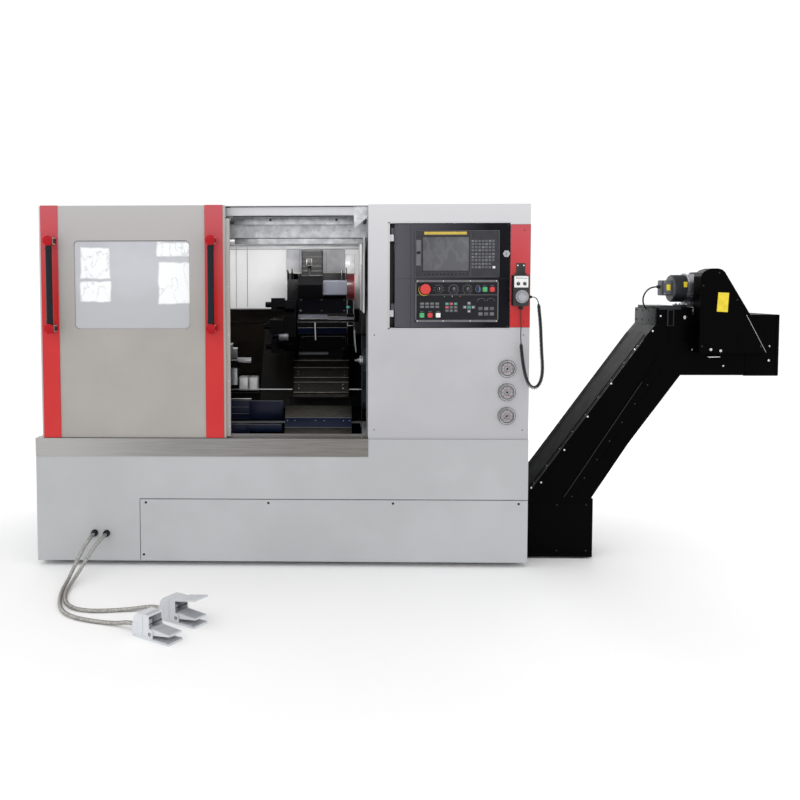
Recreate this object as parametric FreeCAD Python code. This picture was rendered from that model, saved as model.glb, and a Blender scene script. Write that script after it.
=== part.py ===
"""A slant-bed CNC turning lathe with its chip conveyor, hand wheel and foot switches.

Millimetres. Pieces are drawn in the machine's own measure: x from the left end of the base,
y from the door's front face into the machine, z from the floor. save() moves them to the frame:
its origin is on the floor, under the middle of the whole footprint.
"""
import FreeCAD
import Part
import math
import os

V = FreeCAD.Vector

# ---- driving sizes -------------------------------------------------------------------------
ORIGIN_X = 1866.0          # machine measure of the frame's origin
ORIGIN_Y = 234.0
WIDTH = 2450.0             # base and cabinet
DEPTH = 1480.0
HEIGHT = 1800.0
FOOT = 25.0                # floor to the underside of the base
BASE_TOP = 643.0
BASE_WALL = 8.0
SHEET = 3.0
PANEL_TOP = 340.0          # top edge of the lower front panels
PANEL_SPLIT = 520.0        # upright seam between the lower panels
SEAM = 3.0                 # open joint between neighbouring panels
LEDGE_LENGTH = 1660.0
LEDGE_DROP = 87.0
LEDGE_PROUD = 12.0
UPPER_LEFT = 34.0          # left end of the upper enclosure
CABINET_LEFT = 1660.0
DOOR_X = 42.0
DOOR_WIDTH = 913.0
DOOR_THICK = 40.0
DOOR_BOTTOM = 648.0
TRIM_WIDTH = 86.0
TRIM_PROUD = 6.0
WINDOW = (207.0, 779.0, 1191.0, 1627.0)
HANDLE_SPAN = 432.0
HANDLE_Z = 1407.0
HANDLE_TUBE = 32.0
HANDLE_STAND = 62.0
OPEN_X0 = 1765.0           # control opening in the front cabinet
OPEN_X1 = 2352.0
OPEN_Z0 = 1195.0
OPEN_Z1 = 1707.0
SPINDLE_Y = 550.0
SPINDLE_Z = 988.0
CHUCK_RADIUS = 105.0
CHUCK_FRONT = 900.0
CHUCK_LENGTH = 95.0
SPINDLE_RADIUS = 55.0
SPINDLE_BORE = 26.0
BAR_RADIUS = 17.0
BAR_STICKOUT = 128.0
JAW_COUNT = 3
SLANT = math.radians(45.0)
BED_N = -260.0             # bed face, measured square to the slant from the spindle axis
WAY_HEIGHT = 40.0
WAY_WIDTH = 60.0
WAY_LOW = -150.0
WAY_HIGH = 250.0
SLIDE_GAP = 0.3
SHAFT_GAP = 0.08
SADDLE_X = 1262.0
SADDLE_WIDTH = 310.0
SADDLE_THICK = 35.0
SADDLE_U0 = -170.0
SADDLE_U1 = 476.0
CARRIAGE_TRAVEL = 180.0
DISC_U = 270.0             # turret axis, along the slant from the spindle axis
DISC_N = -6.0
DISC_RADIUS = 156.0
DISC_X = 1207.0
DISC_THICK = 69.0
STATIONS = 8
TAIL_X = 1650.0
TAIL_LENGTH = 210.0
CONV_Y0 = 150.0
CONV_WIDTH = 310.0
CONV_WALL = 5.0
CONV_RISE = 1.376          # slope of the incline
COIL_DIAMETER = 19.0
CORD_DIAMETER = 5.0
CONDUIT_DIAMETER = 18.0
PEDAL_ANGLE = -32.6
PEDAL_LENGTH = 200.0
PEDAL_WIDTH = 84.0
PEDAL_AT = ((704.0, -867.0), (776.0, -689.0))


# ---- helpers -------------------------------------------------------------------------------
def box(x0, x1, y0, y1, z0, z1):
    return Part.makeBox(x1 - x0, y1 - y0, z1 - z0, V(x0, y0, z0))


def rod(radius, start, end):
    start = V(*start)
    span = V(*end) - start
    return Part.makeCylinder(radius, span.Length, start, span)


def ring(outer, inner, start, end):
    return rod(outer, start, end).cut(rod(inner, start, end))


def plate(points, axis, low, high):
    """A flat outline pushed along x or y."""
    if axis == "y":
        corners = [V(a, low, b) for a, b in points]
        push = V(0, high - low, 0)
    else:
        corners = [V(low, a, b) for a, b in points]
        push = V(high - low, 0, 0)
    return Part.Face(Part.makePolygon(corners + corners[:1])).extrude(push)


def slant(u, n):
    """A point (y, z) from its distance along the slant and square to it."""
    return (SPINDLE_Y + u * math.cos(SLANT) - n * math.sin(SLANT),
            SPINDLE_Z + u * math.sin(SLANT) + n * math.cos(SLANT))


def slab(x0, x1, u0, u1, n0, n1):
    """A block that lies along the slanted bed."""
    return plate([slant(u0, n0), slant(u1, n0), slant(u1, n1), slant(u0, n1)], "x", x0, x1)


def rounded(shape, radius, direction):
    """Rounds the edges that run along one direction."""
    along = V(*direction)
    edges = [e for e in shape.Edges
             if e.Curve.TypeId == "Part::GeomLine" and e.tangentAt(e.FirstParameter).cross(along).Length < 1e-6]
    return shape.makeFillet(radius, edges)


def tube(points, diameter, label):
    """Straight runs joined by tangent arcs, as large as the runs allow."""
    pts = [V(*p) for p in points]
    edges = []
    at = pts[0]
    radii = []
    for before, here, after in zip(pts, pts[1:], pts[2:]):
        back = (before - here)
        on = (after - here)
        reach = 0.45 * min(back.Length, on.Length)
        back.normalize()
        on.normalize()
        half_turn = (math.pi - back.getAngle(on)) / 2
        radii.append(reach / math.tan(half_turn))
        enter = here + back * reach
        leave = here + on * reach
        inward = back + on
        inward.normalize()
        centre = here + inward * (reach / math.sin(half_turn))
        middle = centre - inward * radii[-1]
        edges.append(Part.LineSegment(at, enter).toShape())
        edges.append(Part.Arc(enter, middle, leave).toShape())
        at = leave
    edges.append(Part.LineSegment(at, pts[-1]).toShape())
    path = Part.Wire(edges)
    first = pts[1] - pts[0]
    section = Part.Wire(Part.makeCircle(diameter / 2, pts[0], first))
    solid = path.makePipeShell([section], True, False)
    share = solid.Volume / (math.pi * diameter ** 2 / 4 * path.Length)
    print(label, "length", round(path.Length), "least radius", round(min(radii), 1), "volume share", round(share, 4))
    return solid


def save(name, *shapes):
    """Writes one sub-part, moved from the machine's measure to the frame."""
    group = shapes[0] if len(shapes) == 1 else Part.makeCompound(list(shapes))
    group = group.copy()
    group.translate(V(-ORIGIN_X, -ORIGIN_Y, 0))
    group.exportStep("parts/" + name + ".step")


# ---- base ----------------------------------------------------------------------------------
BASE_FRONT = -6.0
SKIN_FRONT = BASE_FRONT - SHEET
TROUGH = (880.0, 1636.0, 66.0, 560.0)
TROUGH_FLOOR = 400.0


def base_frame():
    body = box(0, WIDTH, BASE_FRONT, DEPTH, FOOT, BASE_TOP)
    body = body.cut(box(BASE_WALL, WIDTH - BASE_WALL, BASE_FRONT + BASE_WALL, DEPTH - BASE_WALL,
                        FOOT + BASE_WALL, BASE_TOP - BASE_WALL))
    body = body.cut(box(*TROUGH, BASE_TOP - 2 * BASE_WALL, BASE_TOP + 1))
    body = body.cut(box(PANEL_SPLIT + 40, WIDTH - 40, BASE_FRONT - 1, BASE_FRONT + 2 * BASE_WALL,
                        FOOT + 35, PANEL_TOP - 20))
    body = body.cut(box(WIDTH - 2 * BASE_WALL, WIDTH + 1, CONV_Y0 + 20, CONV_Y0 + CONV_WIDTH - 20, 50, 280))
    band = box(0, WIDTH, SKIN_FRONT, BASE_FRONT, PANEL_TOP, BASE_TOP)
    return body.fuse(band).removeSplitter()


def levelling_feet():
    feet = []
    for x in (120.0, WIDTH / 2, WIDTH - 120.0):
        for y in (120.0, DEPTH - 120.0):
            pad = rod(45, (x, y, 0), (x, y, 12))
            bolt = rod(10, (x, y, 12), (x, y, FOOT))
            feet.append(pad.fuse(bolt))
    return feet


def access_panels():
    low = FOOT + SEAM
    high = PANEL_TOP - SEAM
    left = box(0, PANEL_SPLIT - SEAM / 2, SKIN_FRONT, BASE_FRONT, low, high)
    right = box(PANEL_SPLIT + SEAM / 2, WIDTH, SKIN_FRONT, BASE_FRONT, low, high)
    return left, right


def ledge_strip():
    front = box(0, LEDGE_LENGTH, -LEDGE_PROUD, SKIN_FRONT, BASE_TOP - LEDGE_DROP, BASE_TOP)
    top = box(0, LEDGE_LENGTH, -LEDGE_PROUD, 49, BASE_TOP, BASE_TOP + SHEET)
    lip = box(UPPER_LEFT + SHEET, LEDGE_LENGTH - SHEET, 46, 49, BASE_TOP + SHEET, BASE_TOP + 18)
    return front.fuse([top, lip]).removeSplitter()


# ---- bed, headstock and drives -------------------------------------------------------------
BED_X0 = 420.0
BED_X1 = 2150.0
BED_REAR = 1260.0
HEAD_X1 = 781.0
WAY_TOP = BED_N + WAY_HEIGHT
MOTOR_AXIS = (950.0, 820.0)
MOTOR_PULLEY = 75.0
SPINDLE_PULLEY = 110.0
PULLEY_X = (345.0, 395.0)


def bed_casting():
    foot = slant(-190, BED_N)
    top = slant(430, BED_N)
    outline = [(foot[0] - 10, BASE_TOP), foot, top, (top[0] + 72, top[1]), (BED_REAR, BASE_TOP)]
    bed = plate(outline, "x", BED_X0, BED_X1)
    core = plate([(700, 695), (1040, 1035), (1075, 1035), (1185, 695)], "x", BED_X0 - 1, BED_X1 + 1)
    bed = bed.cut(core)
    for u in (WAY_LOW, WAY_HIGH):
        bed = bed.fuse(slab(BED_X0, BED_X1, u, u + WAY_WIDTH, BED_N, WAY_TOP))
    return bed.removeSplitter()


def headstock():
    block = slab(BED_X0, HEAD_X1, -150, 150, WAY_TOP + 20, 115)
    block = rounded(block, 30, (1, 0, 0))
    sole = slab(BED_X0, HEAD_X1, WAY_LOW - 20, WAY_HIGH + WAY_WIDTH + 20, WAY_TOP, WAY_TOP + 60)
    bore = rod(SPINDLE_RADIUS + SHAFT_GAP, (BED_X0 - 1, SPINDLE_Y, SPINDLE_Z), (HEAD_X1 + 1, SPINDLE_Y, SPINDLE_Z))
    return block.fuse(sole).cut(bore).removeSplitter()


def drive_motors():
    y, z = MOTOR_AXIS
    shell = rounded(box(90, 330, y - 125, y + 125, z - 125, z + 125), 25, (1, 0, 0))
    foot = box(110, 310, y - 140, y + 140, BASE_TOP, z - 125)
    shaft = rod(20, (330, y, z), (PULLEY_X[1], y, z))
    spindle_motor = shell.fuse([foot, shaft]).removeSplitter()
    y, z = slant(70, BED_N + 60)
    servo = rounded(box(BED_X1 + 40, BED_X1 + 220, y - 62, y + 62, z - 62, z + 62), 10, (1, 0, 0))
    mount = box(BED_X1, BED_X1 + 40, y - 80, y + 80, z - 80, z + 80)
    return spindle_motor, servo.fuse(mount).removeSplitter()


def hull(centre_a, radius_a, centre_b, radius_b, x0, x1):
    """The outline of an open belt round two pulleys, filled."""
    ay, az = centre_a
    by, bz = centre_b
    reach = math.hypot(by - ay, bz - az)
    heading = math.atan2(bz - az, by - ay)
    lean = math.acos((radius_a - radius_b) / reach)
    corners = []
    for side in (1, -1):
        turn = heading + side * lean
        pair = [(ay + radius_a * math.cos(turn), az + radius_a * math.sin(turn)),
                (by + radius_b * math.cos(turn), bz + radius_b * math.sin(turn))]
        corners += pair if side == 1 else pair[::-1]
    body = plate(corners, "x", x0, x1)
    return body.fuse([rod(radius_a, (x0, ay, az), (x1, ay, az)), rod(radius_b, (x0, by, bz), (x1, by, bz))])


def spindle_belt():
    ends = (SPINDLE_Y, SPINDLE_Z), MOTOR_AXIS
    x0, x1 = PULLEY_X[0] + 5, PULLEY_X[1] - 5
    outer = hull(ends[0], SPINDLE_PULLEY + 6, ends[1], MOTOR_PULLEY + 6, x0, x1)
    inner = hull(ends[0], SPINDLE_PULLEY + 0.5, ends[1], MOTOR_PULLEY + 0.5, x0, x1)
    return outer.cut(inner).removeSplitter()


# ---- spindle line --------------------------------------------------------------------------
def on_spindle(radius, x0, x1):
    return rod(radius, (x0, SPINDLE_Y, SPINDLE_Z), (x1, SPINDLE_Y, SPINDLE_Z))


def spindle():
    chuck_back = CHUCK_FRONT - CHUCK_LENGTH
    body = on_spindle(SPINDLE_RADIUS, PULLEY_X[0], chuck_back)
    body = body.fuse(on_spindle(SPINDLE_PULLEY, *PULLEY_X))
    body = body.fuse(on_spindle(80, chuck_back - 18, chuck_back))
    return body.cut(on_spindle(SPINDLE_BORE, PULLEY_X[0] - 1, chuck_back + 1)).removeSplitter()


def chuck_body():
    body = on_spindle(CHUCK_RADIUS, CHUCK_FRONT - CHUCK_LENGTH, CHUCK_FRONT)
    rim = [e for e in body.Edges if e.Curve.TypeId == "Part::GeomCircle"]
    body = body.makeChamfer(4, rim)
    return body.cut(on_spindle(SPINDLE_BORE, CHUCK_FRONT - CHUCK_LENGTH - 1, CHUCK_FRONT + 1))


def jaw(number):
    inner = BAR_RADIUS + SLIDE_GAP
    low = box(CHUCK_FRONT + SLIDE_GAP, CHUCK_FRONT + 30, -15, 15, inner, CHUCK_RADIUS - 6)
    high = box(CHUCK_FRONT + 30, CHUCK_FRONT + 54, -15, 15, inner, CHUCK_RADIUS - 32)
    piece = low.fuse(high).removeSplitter()
    piece.rotate(V(0, 0, 0), V(1, 0, 0), 15 + 360.0 / JAW_COUNT * number)
    piece.translate(V(0, SPINDLE_Y, SPINDLE_Z))
    return piece


def motor_pulley():
    y, z = MOTOR_AXIS
    return ring(MOTOR_PULLEY, 20 + SHAFT_GAP, (PULLEY_X[0], y, z), (PULLEY_X[1], y, z))


# ---- enclosure -----------------------------------------------------------------------------
ROOF = HEIGHT - SHEET
POST_X = DOOR_X - 1.0
RAIL_Y = 62.0
BEAM_Z = 1651.0
BACK_WALL = 1120.0
STEP_Z = 1266.0
CHAMBER_RIGHT = 1640.0
INNER_PANEL = (63.0, 905.0)


def enclosure_shell():
    left = box(UPPER_LEFT, UPPER_LEFT + SHEET, 40, DEPTH - SHEET, BASE_TOP, ROOF)
    left = left.cut(box(UPPER_LEFT - 1, UPPER_LEFT + SHEET + 1, 39, 49, BASE_TOP - 1, BASE_TOP + SHEET))
    port = rod(60, (UPPER_LEFT - 1, SPINDLE_Y, SPINDLE_Z), (UPPER_LEFT + SHEET + 1, SPINDLE_Y, SPINDLE_Z))
    post = box(UPPER_LEFT, POST_X, 0, 40, BASE_TOP + SHEET, ROOF)
    rear = box(UPPER_LEFT, WIDTH, DEPTH - SHEET, DEPTH, BASE_TOP, ROOF)
    right = box(WIDTH - SHEET, WIDTH, SHEET, DEPTH - SHEET, BASE_TOP, ROOF)
    roof = box(UPPER_LEFT, WIDTH, 45, DEPTH, ROOF, HEIGHT)
    roof = roof.fuse(box(CABINET_LEFT, WIDTH, SHEET, 45, ROOF, HEIGHT)).removeSplitter()
    inner = box(UPPER_LEFT + SHEET, INNER_PANEL[1], RAIL_Y - 3, INNER_PANEL[0], BASE_TOP, 1752)
    return left.cut(port), post, rear, right, roof, inner


HINGE = (1778.0, 4.0)
HINGE_HEIGHTS = (1250.0, 1620.0)
KNUCKLE = 32.0


def front_cabinet():
    skin = box(CABINET_LEFT, WIDTH, 0, SHEET, BASE_TOP + 0.5, HEIGHT)
    skin = skin.cut(box(OPEN_X0, OPEN_X1, -1, SHEET + 1, OPEN_Z0, OPEN_Z1))
    frame = box(OPEN_X0 - SHEET, OPEN_X1 + SHEET, SHEET, 60, OPEN_Z0 - SHEET, OPEN_Z1 + SHEET)
    frame = frame.cut(box(OPEN_X0, OPEN_X1, 0, 61, OPEN_Z0, OPEN_Z1))
    edge = box(CABINET_LEFT, CABINET_LEFT + SHEET, SHEET, 300, BASE_TOP + 0.5, ROOF)
    body = skin.fuse([frame, edge])
    x, y = HINGE
    for z in HINGE_HEIGHTS:
        knuckle = rod(7, (x, y, z), (x, y, z + KNUCKLE))
        leaf = box(OPEN_X0 - 1, x, y - 2.5, y + 2.5, z, z + KNUCKLE)
        bore = rod(4 + SHAFT_GAP, (x, y, z - 1), (x, y, z + KNUCKLE + 1))
        body = body.fuse([knuckle, leaf]).cut(bore)
    return body.removeSplitter()


def chamber_liner():
    left_edge = HEAD_X1
    front = INNER_PANEL[0] + SHEET
    low = slant(-170, -206)
    left = plate([(front, BASE_TOP + 7), (low[0], BASE_TOP + 7), low, (BACK_WALL, STEP_Z),
                  (BACK_WALL, BEAM_Z), (front, BEAM_Z)], "x", left_edge, left_edge + SHEET)
    left = left.cut(rod(85, (left_edge - 1, SPINDLE_Y, SPINDLE_Z), (left_edge + 9, SPINDLE_Y, SPINDLE_Z)))
    right = box(CHAMBER_RIGHT, CHAMBER_RIGHT + SHEET, front, BACK_WALL, STEP_Z, BEAM_Z)
    back = box(left_edge, CHAMBER_RIGHT + SHEET, BACK_WALL, BACK_WALL + SHEET, STEP_Z, BEAM_Z)
    ceiling = box(left_edge, CHAMBER_RIGHT + SHEET, 300, BACK_WALL + SHEET, BEAM_Z, BEAM_Z + SHEET)
    upper = slab(left_edge, CHAMBER_RIGHT, SADDLE_U1 + 6, 597, -209, -206)
    guard = slab(left_edge, SADDLE_X - CARRIAGE_TRAVEL - 4, WAY_LOW - 25, SADDLE_U1, -218.5, -215.5)
    x0, x1, y0, y1 = TROUGH
    trough_back = box(x0, x1, y1, y1 + SHEET, TROUGH_FLOOR, BASE_TOP - BASE_WALL)
    trough_floor = box(x0, x1, y0, y1 + SHEET, TROUGH_FLOOR - SHEET, TROUGH_FLOOR)
    trough_front = box(x0, x1, y0 - SHEET, y0, TROUGH_FLOOR - SHEET, BASE_TOP - BASE_WALL)
    return left, right, back, ceiling, upper, guard, trough_back, trough_floor, trough_front


def header_beam():
    x0, x1 = UPPER_LEFT + SHEET, CABINET_LEFT
    rail = box(x0, x1, RAIL_Y, 140, 1752, 1790)
    rail = rail.cut(box(x0 - 1, x1 + 1, RAIL_Y + SHEET, 140 - SHEET, 1751, 1790 - SHEET))
    beam = box(HEAD_X1, x1, 255, 300, BEAM_Z, 1722).cut(box(HEAD_X1 - 1, x1 + 1, 255 + SHEET, 301,
                                                         BEAM_Z + SHEET, 1723))
    gusset = plate([(1588, 1795), (1658, 1795), (1658, 1744), (1592, 1684)], "y", RAIL_Y - SHEET, RAIL_Y)
    return rail, beam, gusset


# ---- sliding door --------------------------------------------------------------------------
def door_panel():
    x0, x1 = DOOR_X, DOOR_X + DOOR_WIDTH
    top = HEIGHT - 1
    body = box(x0, x1, 0, DOOR_THICK, DOOR_BOTTOM, top)
    body = body.cut(box(x0 + SHEET, x1 - SHEET, SHEET, DOOR_THICK + 1, DOOR_BOTTOM + SHEET, top - SHEET))
    wx0, wx1, wz0, wz1 = WINDOW
    hole = rounded(box(wx0, wx1, -1, SHEET + 1, wz0, wz1), 14, (0, 1, 0))
    edge = box(x1, x1 + 20, DOOR_THICK - 20, DOOR_THICK, DOOR_BOTTOM + 4, 1735)
    hanger = box(x0 + 40, x1 - 60, DOOR_THICK - 10, RAIL_Y - SLIDE_GAP, 1760, 1780)
    shoe = box(x0 + 40, x1 - 40, DOOR_THICK - 4, 46 - SLIDE_GAP, DOOR_BOTTOM + 3, DOOR_BOTTOM + 10)
    return body.cut(hole).fuse([edge, hanger, shoe]).removeSplitter()


def door_trims():
    top = HEIGHT
    strips = []
    for x0 in (DOOR_X, DOOR_X + DOOR_WIDTH - TRIM_WIDTH - 14):
        x1 = x0 + TRIM_WIDTH + (4 if x0 > DOOR_X else 0)
        strips.append(rounded(box(x0, x1, -TRIM_PROUD, 0, DOOR_BOTTOM, top), 2.5, (0, 0, 1)))
    return strips


def door_window():
    wx0, wx1, wz0, wz1 = WINDOW
    return box(wx0 - 12, wx1 + 12, SHEET, SHEET + 6, wz0 - 12, wz1 + 12)


HANDLE_X = (DOOR_X + 60.0, DOOR_X + DOOR_WIDTH - 62.0)


def door_handles():
    pieces = []
    grip = -TRIM_PROUD - HANDLE_STAND
    for x in HANDLE_X:
        z0, z1 = HANDLE_Z - HANDLE_SPAN / 2, HANDLE_Z + HANDLE_SPAN / 2
        bar = rod(HANDLE_TUBE / 2, (x, grip, z0 - 12), (x, grip, z1 + 12))
        for z in (z0, z1):
            arm = box(x - 13, x + 13, grip, -TRIM_PROUD, z - 13, z + 13)
            head = rod(HANDLE_TUBE / 2 + 3, (x, grip, z - 17), (x, grip, z + 17))
            bar = bar.fuse([arm, head])
        pieces.append(bar.removeSplitter())
    return pieces


# ---- control door and its panels -----------------------------------------------------------
SCREEN_UNIT = (1888.0, 2298.0, 1443.0, 1671.0)
SCREEN = (1924.0, 2152.0, 1473.0, 1642.0)
PANEL = (1890.0, 2295.0, 1224.0, 1430.0)
FACE = -8.0                # front of the two panels
DOOR_FACE = -2.0
BUTTON = 22.0
BUTTON_GAP = 0.4
BUTTONS = {"button_start": (2228.0, 1384.0), "button_stop": (2264.0, 1384.0),
           "button_power_on": (1922.0, 1258.0), "button_power_off": (1962.0, 1258.0),
           "button_light": (2001.0, 1258.0)}
ESTOP = (1937.0, 1385.0)
KNOBS = {"knob_mode": (2005.0, 1384.0), "knob_feed": (2076.0, 1384.0), "knob_spindle": (2143.0, 1384.0)}
KEY = (2196.0, 1384.0)
LATCH = (2331.0, 1557.0)


def control_door():
    x0, x1, z0, z1 = HINGE[0] + 12, OPEN_X1 - 4, OPEN_Z0 + 4, OPEN_Z1 - 4
    body = box(x0, x1, DOOR_FACE, 28, z0, z1)
    body = body.cut(box(x0 + SHEET, x1 - SHEET, DOOR_FACE + SHEET, 29, z0 + SHEET, z1 - SHEET))
    for left, right, low, high in (SCREEN_UNIT, PANEL):
        body = body.cut(box(left + 12, right - 12, DOOR_FACE - 1, 9, low + 12, high - 12))
    x, y = HINGE
    for z in HINGE_HEIGHTS:
        top = z + KNUCKLE + 0.5
        knuckle = rod(7, (x, y, top), (x, y, top + KNUCKLE))
        leaf = box(x, x0 + 1, y - 2.5, y + 2.5, top, top + KNUCKLE)
        pin = rod(4, (x, y, z + 1), (x, y, top + KNUCKLE))
        body = body.fuse([knuckle, leaf, pin])
    hole = rod(6 + SHAFT_GAP, (LATCH[0], DOOR_FACE - 1, LATCH[1]), (LATCH[0], DOOR_FACE + SHEET + 1, LATCH[1]))
    return body.cut(hole).removeSplitter()


def screen_unit():
    x0, x1, z0, z1 = SCREEN_UNIT
    face = rounded(box(x0, x1, FACE, DOOR_FACE, z0, z1), 6, (0, 1, 0))
    rear = box(x0 + 12, x1 - 12, DOOR_FACE, 24, z0 + 12, z1 - 12)
    sx0, sx1, sz0, sz1 = SCREEN
    return face.fuse(rear).cut(box(sx0, sx1, FACE - 1, FACE + 3, sz0, sz1)).removeSplitter()


def operator_panel():
    x0, x1, z0, z1 = PANEL
    body = rounded(box(x0, x1, FACE, DOOR_FACE, z0, z1), 8, (0, 1, 0))
    body = body.fuse(box(x0 + 12, x1 - 12, DOOR_FACE, 8, z0 + 12, z1 - 12))
    body = body.fuse(rod(30, (ESTOP[0], FACE - 4, ESTOP[1]), (ESTOP[0], FACE, ESTOP[1])))
    body = body.fuse(rod(12, (KEY[0], FACE - 6, KEY[1]), (KEY[0], FACE, KEY[1])))
    half = BUTTON / 2 + BUTTON_GAP
    for x, z in BUTTONS.values():
        body = body.cut(box(x - half, x + half, FACE - 1, 9, z - half, z + half))
    for x, z in KNOBS.values():
        body = body.cut(rod(4 + SHAFT_GAP, (x, FACE - 1, z), (x, 9, z)))
    body = body.cut(rod(14 + SLIDE_GAP, (ESTOP[0], FACE - 9, ESTOP[1]), (ESTOP[0], 9, ESTOP[1])))
    body = body.cut(rod(7 + SHAFT_GAP, (KEY[0], FACE - 9, KEY[1]), (KEY[0], 9, KEY[1])))
    return body.removeSplitter()


def push_button(x, z):
    half = BUTTON / 2
    cap = box(x - half, x + half, FACE - 10, 0, z - half, z + half)
    return cap.makeChamfer(1.2, [e for e in cap.Edges if abs(e.CenterOfMass.y - (FACE - 10)) < 1e-6])


def estop_button():
    x, z = ESTOP
    head = rod(25.5, (x, FACE - 32, z), (x, FACE - 18, z))
    head = head.makeFillet(5, [e for e in head.Edges if abs(e.CenterOfMass.y - (FACE - 32)) < 1e-6])
    return head.fuse(rod(14, (x, FACE - 18, z), (x, 0, z))).removeSplitter()


def rotary_knob(x, z):
    skirt = rod(15, (x, FACE - 8, z), (x, FACE - SLIDE_GAP, z))
    grip = box(x - 4.5, x + 4.5, FACE - 20, FACE - 8, z - 14, z + 14)
    return skirt.fuse([grip, rod(4, (x, FACE - 8, z), (x, 4, z))]).removeSplitter()


def key_switch():
    x, z = KEY
    plug = rod(7, (x, FACE - 8, z), (x, 4, z))
    blade = box(x - 1.5, x + 1.5, FACE - 20, FACE - 8, z - 5, z + 5)
    bow = rounded(box(x - 1.8, x + 1.8, FACE - 44, FACE - 20, z - 13, z + 13), 5, (1, 0, 0))
    return plug.fuse([blade, bow]).removeSplitter()


def control_latch():
    x, z = LATCH
    points = [(x + 18 * math.cos(math.radians(60 * k)), z + 18 * math.sin(math.radians(60 * k))) for k in range(6)]
    head = plate(points, "y", DOOR_FACE - 12, DOOR_FACE - SLIDE_GAP)
    shaft = rod(6, (x, DOOR_FACE - 12, z), (x, 14, z))
    cam = box(x - 8, x + 11, 9, 13, z - 8, z + 8)
    return head.fuse([shaft, cam]).removeSplitter()


# ---- gauges, glands, hand wheel ------------------------------------------------------------
GAUGE_X = 2342.0
GAUGE_Z = (994.0, 878.0, 761.0)
CONDUIT_GLANDS = ((291.0, 167.0), (351.0, 165.0))
PENDANT = (2357.0, 2432.0, 1303.0, 1454.0)
PENDANT_Y = (-62.0, -8.0)
DIAL = (2397.0, 1349.0)
PENDANT_EXIT = (2452.0, -35.0, 1347.0)
PANEL_ENTRY = (2403.0, -16.0, 1284.0)


def pressure_gauges():
    gauges = []
    for z in GAUGE_Z:
        case = rod(43, (GAUGE_X, -4, z), (GAUGE_X, 0, z)).fuse(rod(37, (GAUGE_X, -14, z), (GAUGE_X, -4, z)))
        gauges.append(case.cut(rod(33, (GAUGE_X, -15, z), (GAUGE_X, -10, z))).removeSplitter())
    return gauges


def cable_glands():
    glands = []
    for x, z in CONDUIT_GLANDS:
        nut = rod(17, (x, SKIN_FRONT - 10, z), (x, SKIN_FRONT, z))
        glands.append(nut.fuse(rod(13, (x, SKIN_FRONT - 28, z), (x, SKIN_FRONT - 10, z))).removeSplitter())
    x, y, z = PANEL_ENTRY
    elbow = box(x - 9, x + 9, y - 9, 0, z + 4, z + 17).fuse(rod(6, (x, y, z), (x, y, z + 4)))
    glands.append(elbow.removeSplitter())
    x, y, z = PENDANT_EXIT
    glands.append(rod(9, (PENDANT[1], y, z), (x - 8, y, z)).fuse(rod(6.5, (x - 8, y, z), (x, y, z))).removeSplitter())
    return glands


def pendant_body():
    x0, x1, z0, z1 = PENDANT
    front, back = PENDANT_Y
    case = rounded(box(x0, x1, front, back, z0, z1), 8, (0, 1, 0))
    x, z = DIAL
    case = case.cut(rod(5 + SHAFT_GAP, (x, front - 1, z), (x, front + 20, z)))
    hanger = box(2381, 2424, back, 0, z1 - 60, z1 + 4).fuse(box(2381, 2424, -5, 0, z1 + 4, 1511))
    tongue = box(2376, 2429, -12, -5, z1 - 8, z1 + 9)
    return case.fuse([hanger, tongue]).removeSplitter()


def pendant_dial():
    x, z = DIAL
    front = PENDANT_Y[0]
    wheel = rod(31, (x, front - 12, z), (x, front - SLIDE_GAP, z)).fuse(rod(23, (x, front - 20, z), (x, front - 12, z)))
    crank = rod(4, (x + 15, front - 30, z + 10), (x + 15, front - 20, z + 10))
    return wheel.fuse([crank, rod(5, (x, front - 12, z), (x, front + 18, z))]).removeSplitter()


# Routes of the cords, in the frame's own measure.
LEAD_TOP = [(586, -269, 1347), (597, -269, 1347), (608, -270, 1340), (616.33, -271.58, 1323.9),
            (618, -272, 1308)]
COIL_ROUTE = [(618, -272, 1308), (622, -273, 1270), (627, -274, 1222), (630, -275, 1170), (632, -276, 1118),
              (635, -277, 1066), (639, -278, 1016), (638, -279, 966), (627, -280, 925), (606, -280, 903),
              (583, -279, 909), (565, -277, 938), (552, -275, 984), (544, -272, 1036), (539, -268, 1086),
              (537, -263, 1126)]
LEAD_BACK = [(537, -263, 1126), (535.41, -259.04, 1157.71), (538, -256, 1196), (537, -252, 1236), (537, -250, 1262),
             (537, -250, 1284)]
CONDUIT_FRONT = [(-1575, -271, 167), (-1575, -303, 167), (-1584, -338, 152), (-1600, -374, 122), (-1614, -416, 84),
                 (-1625, -464, 45), (-1630, -518, 19), (-1629, -576, 10), (-1622, -636, 9), (-1610, -696, 9),
                 (-1596, -754, 9), (-1579, -812, 9), (-1556, -868, 9), (-1524, -918, 9), (-1482, -958, 9),
                 (-1430, -987, 9), (-1374, -1008, 9), (-1318, -1024, 9), (-1264, -1040, 13), (-1212.547, -1068.674, 30),
                 (-1178.849, -1090.225, 30)]
CONDUIT_REAR = [(-1515, -271, 165), (-1515, -303, 165), (-1529, -338, 152), (-1549, -374, 126), (-1568, -416, 92),
                (-1583, -462, 57), (-1595, -514, 32), (-1601, -570, 18), (-1599, -632, 10), (-1589, -694, 9),
                (-1574, -750, 9), (-1552, -802, 9), (-1520, -846, 9), (-1478, -876, 9), (-1426, -890, 9),
                (-1368, -890, 9), (-1308, -880, 9), (-1250, -869, 10), (-1195, -868, 18), (-1140.547, -890.674, 30),
                (-1106.849, -912.225, 30)]


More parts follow.
